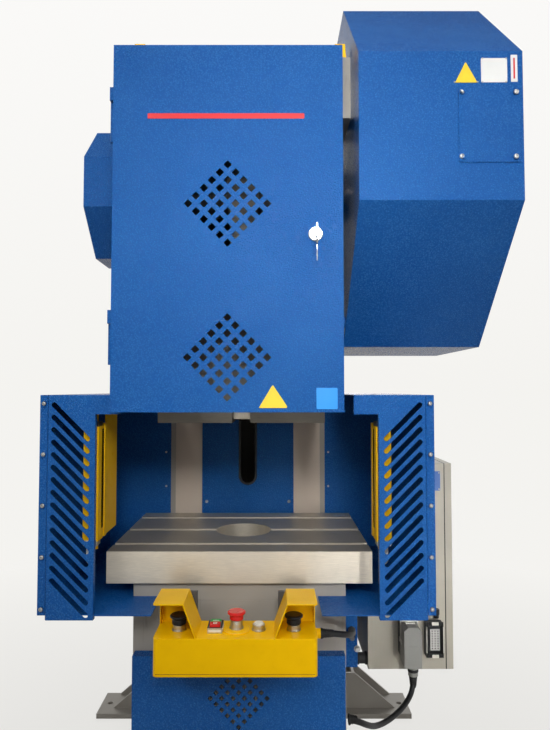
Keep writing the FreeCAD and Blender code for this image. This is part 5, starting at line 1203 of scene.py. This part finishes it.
def hex_bolt(shape, place, facing, across_flats=0.019):
    """A hexagon head on its washer."""
    radius = across_flats / math.sqrt(3)
    turned(shape, [(radius * 1.35, -0.0005), (radius * 1.35, 0.0020), (radius, 0.0020)],
           place, facing, 24)
    turned(shape, [(radius, 0.0015), (radius, radius * 0.95), (radius * 0.86, radius * 1.12),
                   (0, radius * 1.12)], place, facing, 6)


RAIL_TOP = 2.1480
blocks("motor_rails", MOTOR_GREY,
       [((-0.120, near, 2.1362), (0.150, far, RAIL_TOP))
        for near, far in ((-0.176, -0.140), (0.020, 0.056))], 0.002)
rail_bolts = bmesh.new()
for across in (-0.095, 0.125):
    for back in (-0.158, 0.038):
        hex_bolt(rail_bolts, (across, back, RAIL_TOP), UP)
piece("rail_bolts", rail_bolts, PLATED)

# %% [markdown]
# ## Screws and seams on the sides
#
# Guards come off for service, so they show their screws from every side. The places are found by
# casting lines at the covers. A line that misses stops the script, so no screw can float.

# %% Guard screws
def on_circle(node, outside, middle, radius, steps):
    """Landings on a cover's side, at some of the eight places between its corners."""
    places = []
    for angle in (math.radians(22.5 + 45 * step) for step in steps):
        start = (outside, middle[0] + radius * math.cos(angle),
                 middle[1] + radius * math.sin(angle))
        places.append(landing(node, start, (-outside, 0, 0)))
    return places


side_places = on_circle("flywheel_guard", 1.0, (-0.324, 1.942), 0.345, range(8))
side_places += on_circle("brake_guard_lid", -1.0, (-0.4185, 1.917), 0.125, range(0, 8, 2))
screws("guard_side_screws", side_places, 0.0056, PLATED)

box_places = [landing(f"guard_box_{side}", (sign * 0.9, back, height), (-sign, 0, 0))
              for side, sign in (("left", -1), ("right", 1))
              for back in (-0.735, -0.480, -0.215) for height in (0.906, 1.130, 1.354)]
screws("guard_box_screws", box_places, 0.0050, SCREW_GREY)


def nearest_seen(nodes, across, down):
    """The nearest of several pieces at a place in the picture."""
    found = []
    for node in nodes:
        try:
            found.append(seen_at(node, across, down))
        except ValueError:
            continue
    return min(found, key=lambda spot: (spot[0] - CAMERA_PLACE).length)


THROAT = ["guard_box_left", "guard_box_right", "frame_side_left", "frame_side_right",
          "throat_posts", "throat_panel"]
corner_places = [nearest_seen(THROAT, across, down)
                 for across in (166.3, 328.2) for down in (452, 486)]
screws("throat_corner_screws", corner_places, 0.0034, PLATED)

# %% Rear cover of the head
rear_spot, rear_facing = landing("head_box", (0, 1.5, 1.70), (0, -1, 0))
REAR_Y = rear_spot.y
rear_cover = bmesh.new()
slab(rear_cover, (-0.165, REAR_Y - 0.0005, 1.420), (0.165, REAR_Y + 0.0030, 1.900), 0.0014)
for row in range(9):
    height = 1.700 - row * 0.026
    for across in (-0.085, 0.015):
        slab(rear_cover, (across, REAR_Y + 0.0025, height), (across + 0.070, REAR_Y + 0.0085,
                                                             height + 0.010), 0.0028)
piece("rear_cover", rear_cover, BLUE)
rear_screws = bmesh.new()
for across in (-0.152, 0, 0.152):
    for height in (1.433, 1.660, 1.887):
        if across or height != 1.660:
            button_head(rear_screws, (across, REAR_Y + 0.0030, height), (0, 1, 0), 0.0056)
piece("rear_cover_screws", rear_screws, PLATED)
print("rear of the head at", round(REAR_Y, 3), "facing", [round(v, 2) for v in rear_facing])

# %% [markdown]
# ## The cabinet from its other sides
#
# The door swings on two lift-off hinges, whose lower halves stay on the body. Glands close the
# holes in the underside, and bolts with washers hold the box to its carrier.

# %% Hinges, glands and bolts
swing = next(joint for joint in frame["record"]["behaviour"]["joints"]
             if joint["child"] == "switch_door")
HINGE_X, HINGE_Y = swing["pos_m"][0], swing["pos_m"][1]
print("cabinet hinge axis", round(HINGE_X, 4), round(HINGE_Y, 4))
for name, body, shift in (("lower", "frame", -0.0290), ("upper", "switch_door", 0.0005)):
    turnings(f"cabinet_hinge_{name}", PLATED,
             [(0, 0), (0.0030, 0), (0.0036, 0.0008), (0.0036, 0.0277), (0.0030, 0.0285),
              (0, 0.0285)],
             [((min(HINGE_X, 0.6605), HINGE_Y + 0.0005, height + shift), UP)
              for height in (0.600, 1.046)], 18, body)
turnings("cabinet_glands", BLACK_PLASTIC,
         [(0, -0.021), (0.0090, -0.021), (0.0130, -0.017), (0.0130, -0.007), (0.0160, -0.006),
          (0.0160, 0.001)],
         [((across, back, cabinet_low.z), UP) for across, back in
          ((0.450, 0.060), (0.510, 0.060), (0.570, 0.060), (0.480, 0.130))], 20)
lock_low, lock_high = box_corners("cabinet_lock")
turnings("cabinet_lock_collar", BLACK_PLASTIC,
         [(0.0132, -0.001), (0.0168, -0.0005), (0.0166, 0.0016), (0.0134, 0.0024)],
         [((door_high.x, (lock_low.y + lock_high.y) / 2, (lock_low.z + lock_high.z) / 2),
           (1, 0, 0))], 28, "switch_door")
carrier_bolts = bmesh.new()
for back in (-0.150, 0.255):
    for height in (0.560, 1.040):
        spot, facing = landing("cabinet_carrier", (0.349, back, height), (0, -1, 0))
        hex_bolt(carrier_bolts, spot, facing, 0.013)
piece("carrier_bolts", carrier_bolts, PLATED)

# %% [markdown]
# ## Welds, bolts and plates on the frame
#
# The frame is welded from thick plate, and fillet welds are what one sees of that on its sides.
# A weld is a row of overlapping scales, so it is made as a tube whose radius swells with every
# scale. The guide rails are adjusted from outside by screws with lock nuts, in two columns.

# %% Weld beads
SCALE_PITCH = 0.006


def weld(name, start, end, radius=0.0042):
    """A rippled bead from one point to another, half sunk into the plates."""
    start, end = Vector(start), Vector(end)
    length = (end - start).length
    shape = bmesh.new()
    steps = max(2, int(length / SCALE_PITCH) * 3)
    profile = [(0, 0)]
    for step in range(steps + 1):
        swell = (0.82, 1.0, 0.94)[step % 3]
        profile.append((radius * swell, length * step / steps))
    profile.append((0, length))
    turned(shape, profile, start, end - start, 8)
    return piece(name, shape, FRAME_GREY, "frame", 60)


for side, sign in (("left", -1), ("right", 1)):
    for end, row in (("front", "feet_front"), ("rear", "feet_rear")):
        low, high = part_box(row)
        wall = landing(f"frame_side_{side}", (sign * 0.9, (low[1] + high[1]) / 2, 0.10),
                       (-sign, 0, 0))[0].x
        for edge, back in (("near", low[1] + 0.005), ("far", high[1] - 0.005)):
            weld(f"foot_weld_{side}_{end}_{edge}", (wall, back, 0.030), (wall, back, 0.150))

# %% Guide screws
left_wall = landing("frame_side_left", (-0.9, 0.10, 1.40), (1, 0, 0))[0].x
guide_screws = bmesh.new()
for back in (0.020, 0.075):
    for height in (1.45, 1.58, 1.71):
        spot, facing = landing("frame_side_left", (-0.9, back - 0.235, height), (1, 0, 0))
        hex_bolt(guide_screws, spot, facing, 0.024)
piece("guide_screws_left", guide_screws, PLATED)

# %% Grease manifold and blank rating plate on the left side
grease = bmesh.new()
slab(grease, (left_wall - 0.026, 0.080, 1.180), (left_wall + 0.001, 0.250, 1.216), 0.003)
for outlet in range(5):
    turned(grease, [(0.0070, 0), (0.0070, 0.010), (0.0045, 0.012), (0.0045, 0.018), (0, 0.018)],
           (left_wall - 0.013, 0.098 + outlet * 0.0335, 1.2155), UP, 6)
    turned(grease, [(0.0055, 0), (0.0055, 0.006), (0.0030, 0.010), (0.0040, 0.013), (0, 0.014)],
           (left_wall - 0.0255, 0.098 + outlet * 0.0335, 1.198), (-1, 0, 0), 12)
piece("grease_manifold", grease, ROUND_STEEL)
rating = bmesh.new()
cut_out(rating, rounded_outline(0.120, 0.080, 0.004), 0.0010,
        Matrix.Translation((left_wall, 0.165, 1.330)) @ Matrix.Rotation(-math.pi / 2, 4, "Z")
        @ Matrix.Rotation(math.pi / 2, 4, "X"))
piece("rating_plate_blank", rating, PLATED)
turnings("rating_plate_pins", PLATED,
         [(0, 0.0030), (0.0018, 0.0026), (0.0026, 0.0014), (0.0026, 0.0)],
         [((left_wall, back, height), (-1, 0, 0)) for back in (0.111, 0.219)
          for height in (1.296, 1.364)], 12)
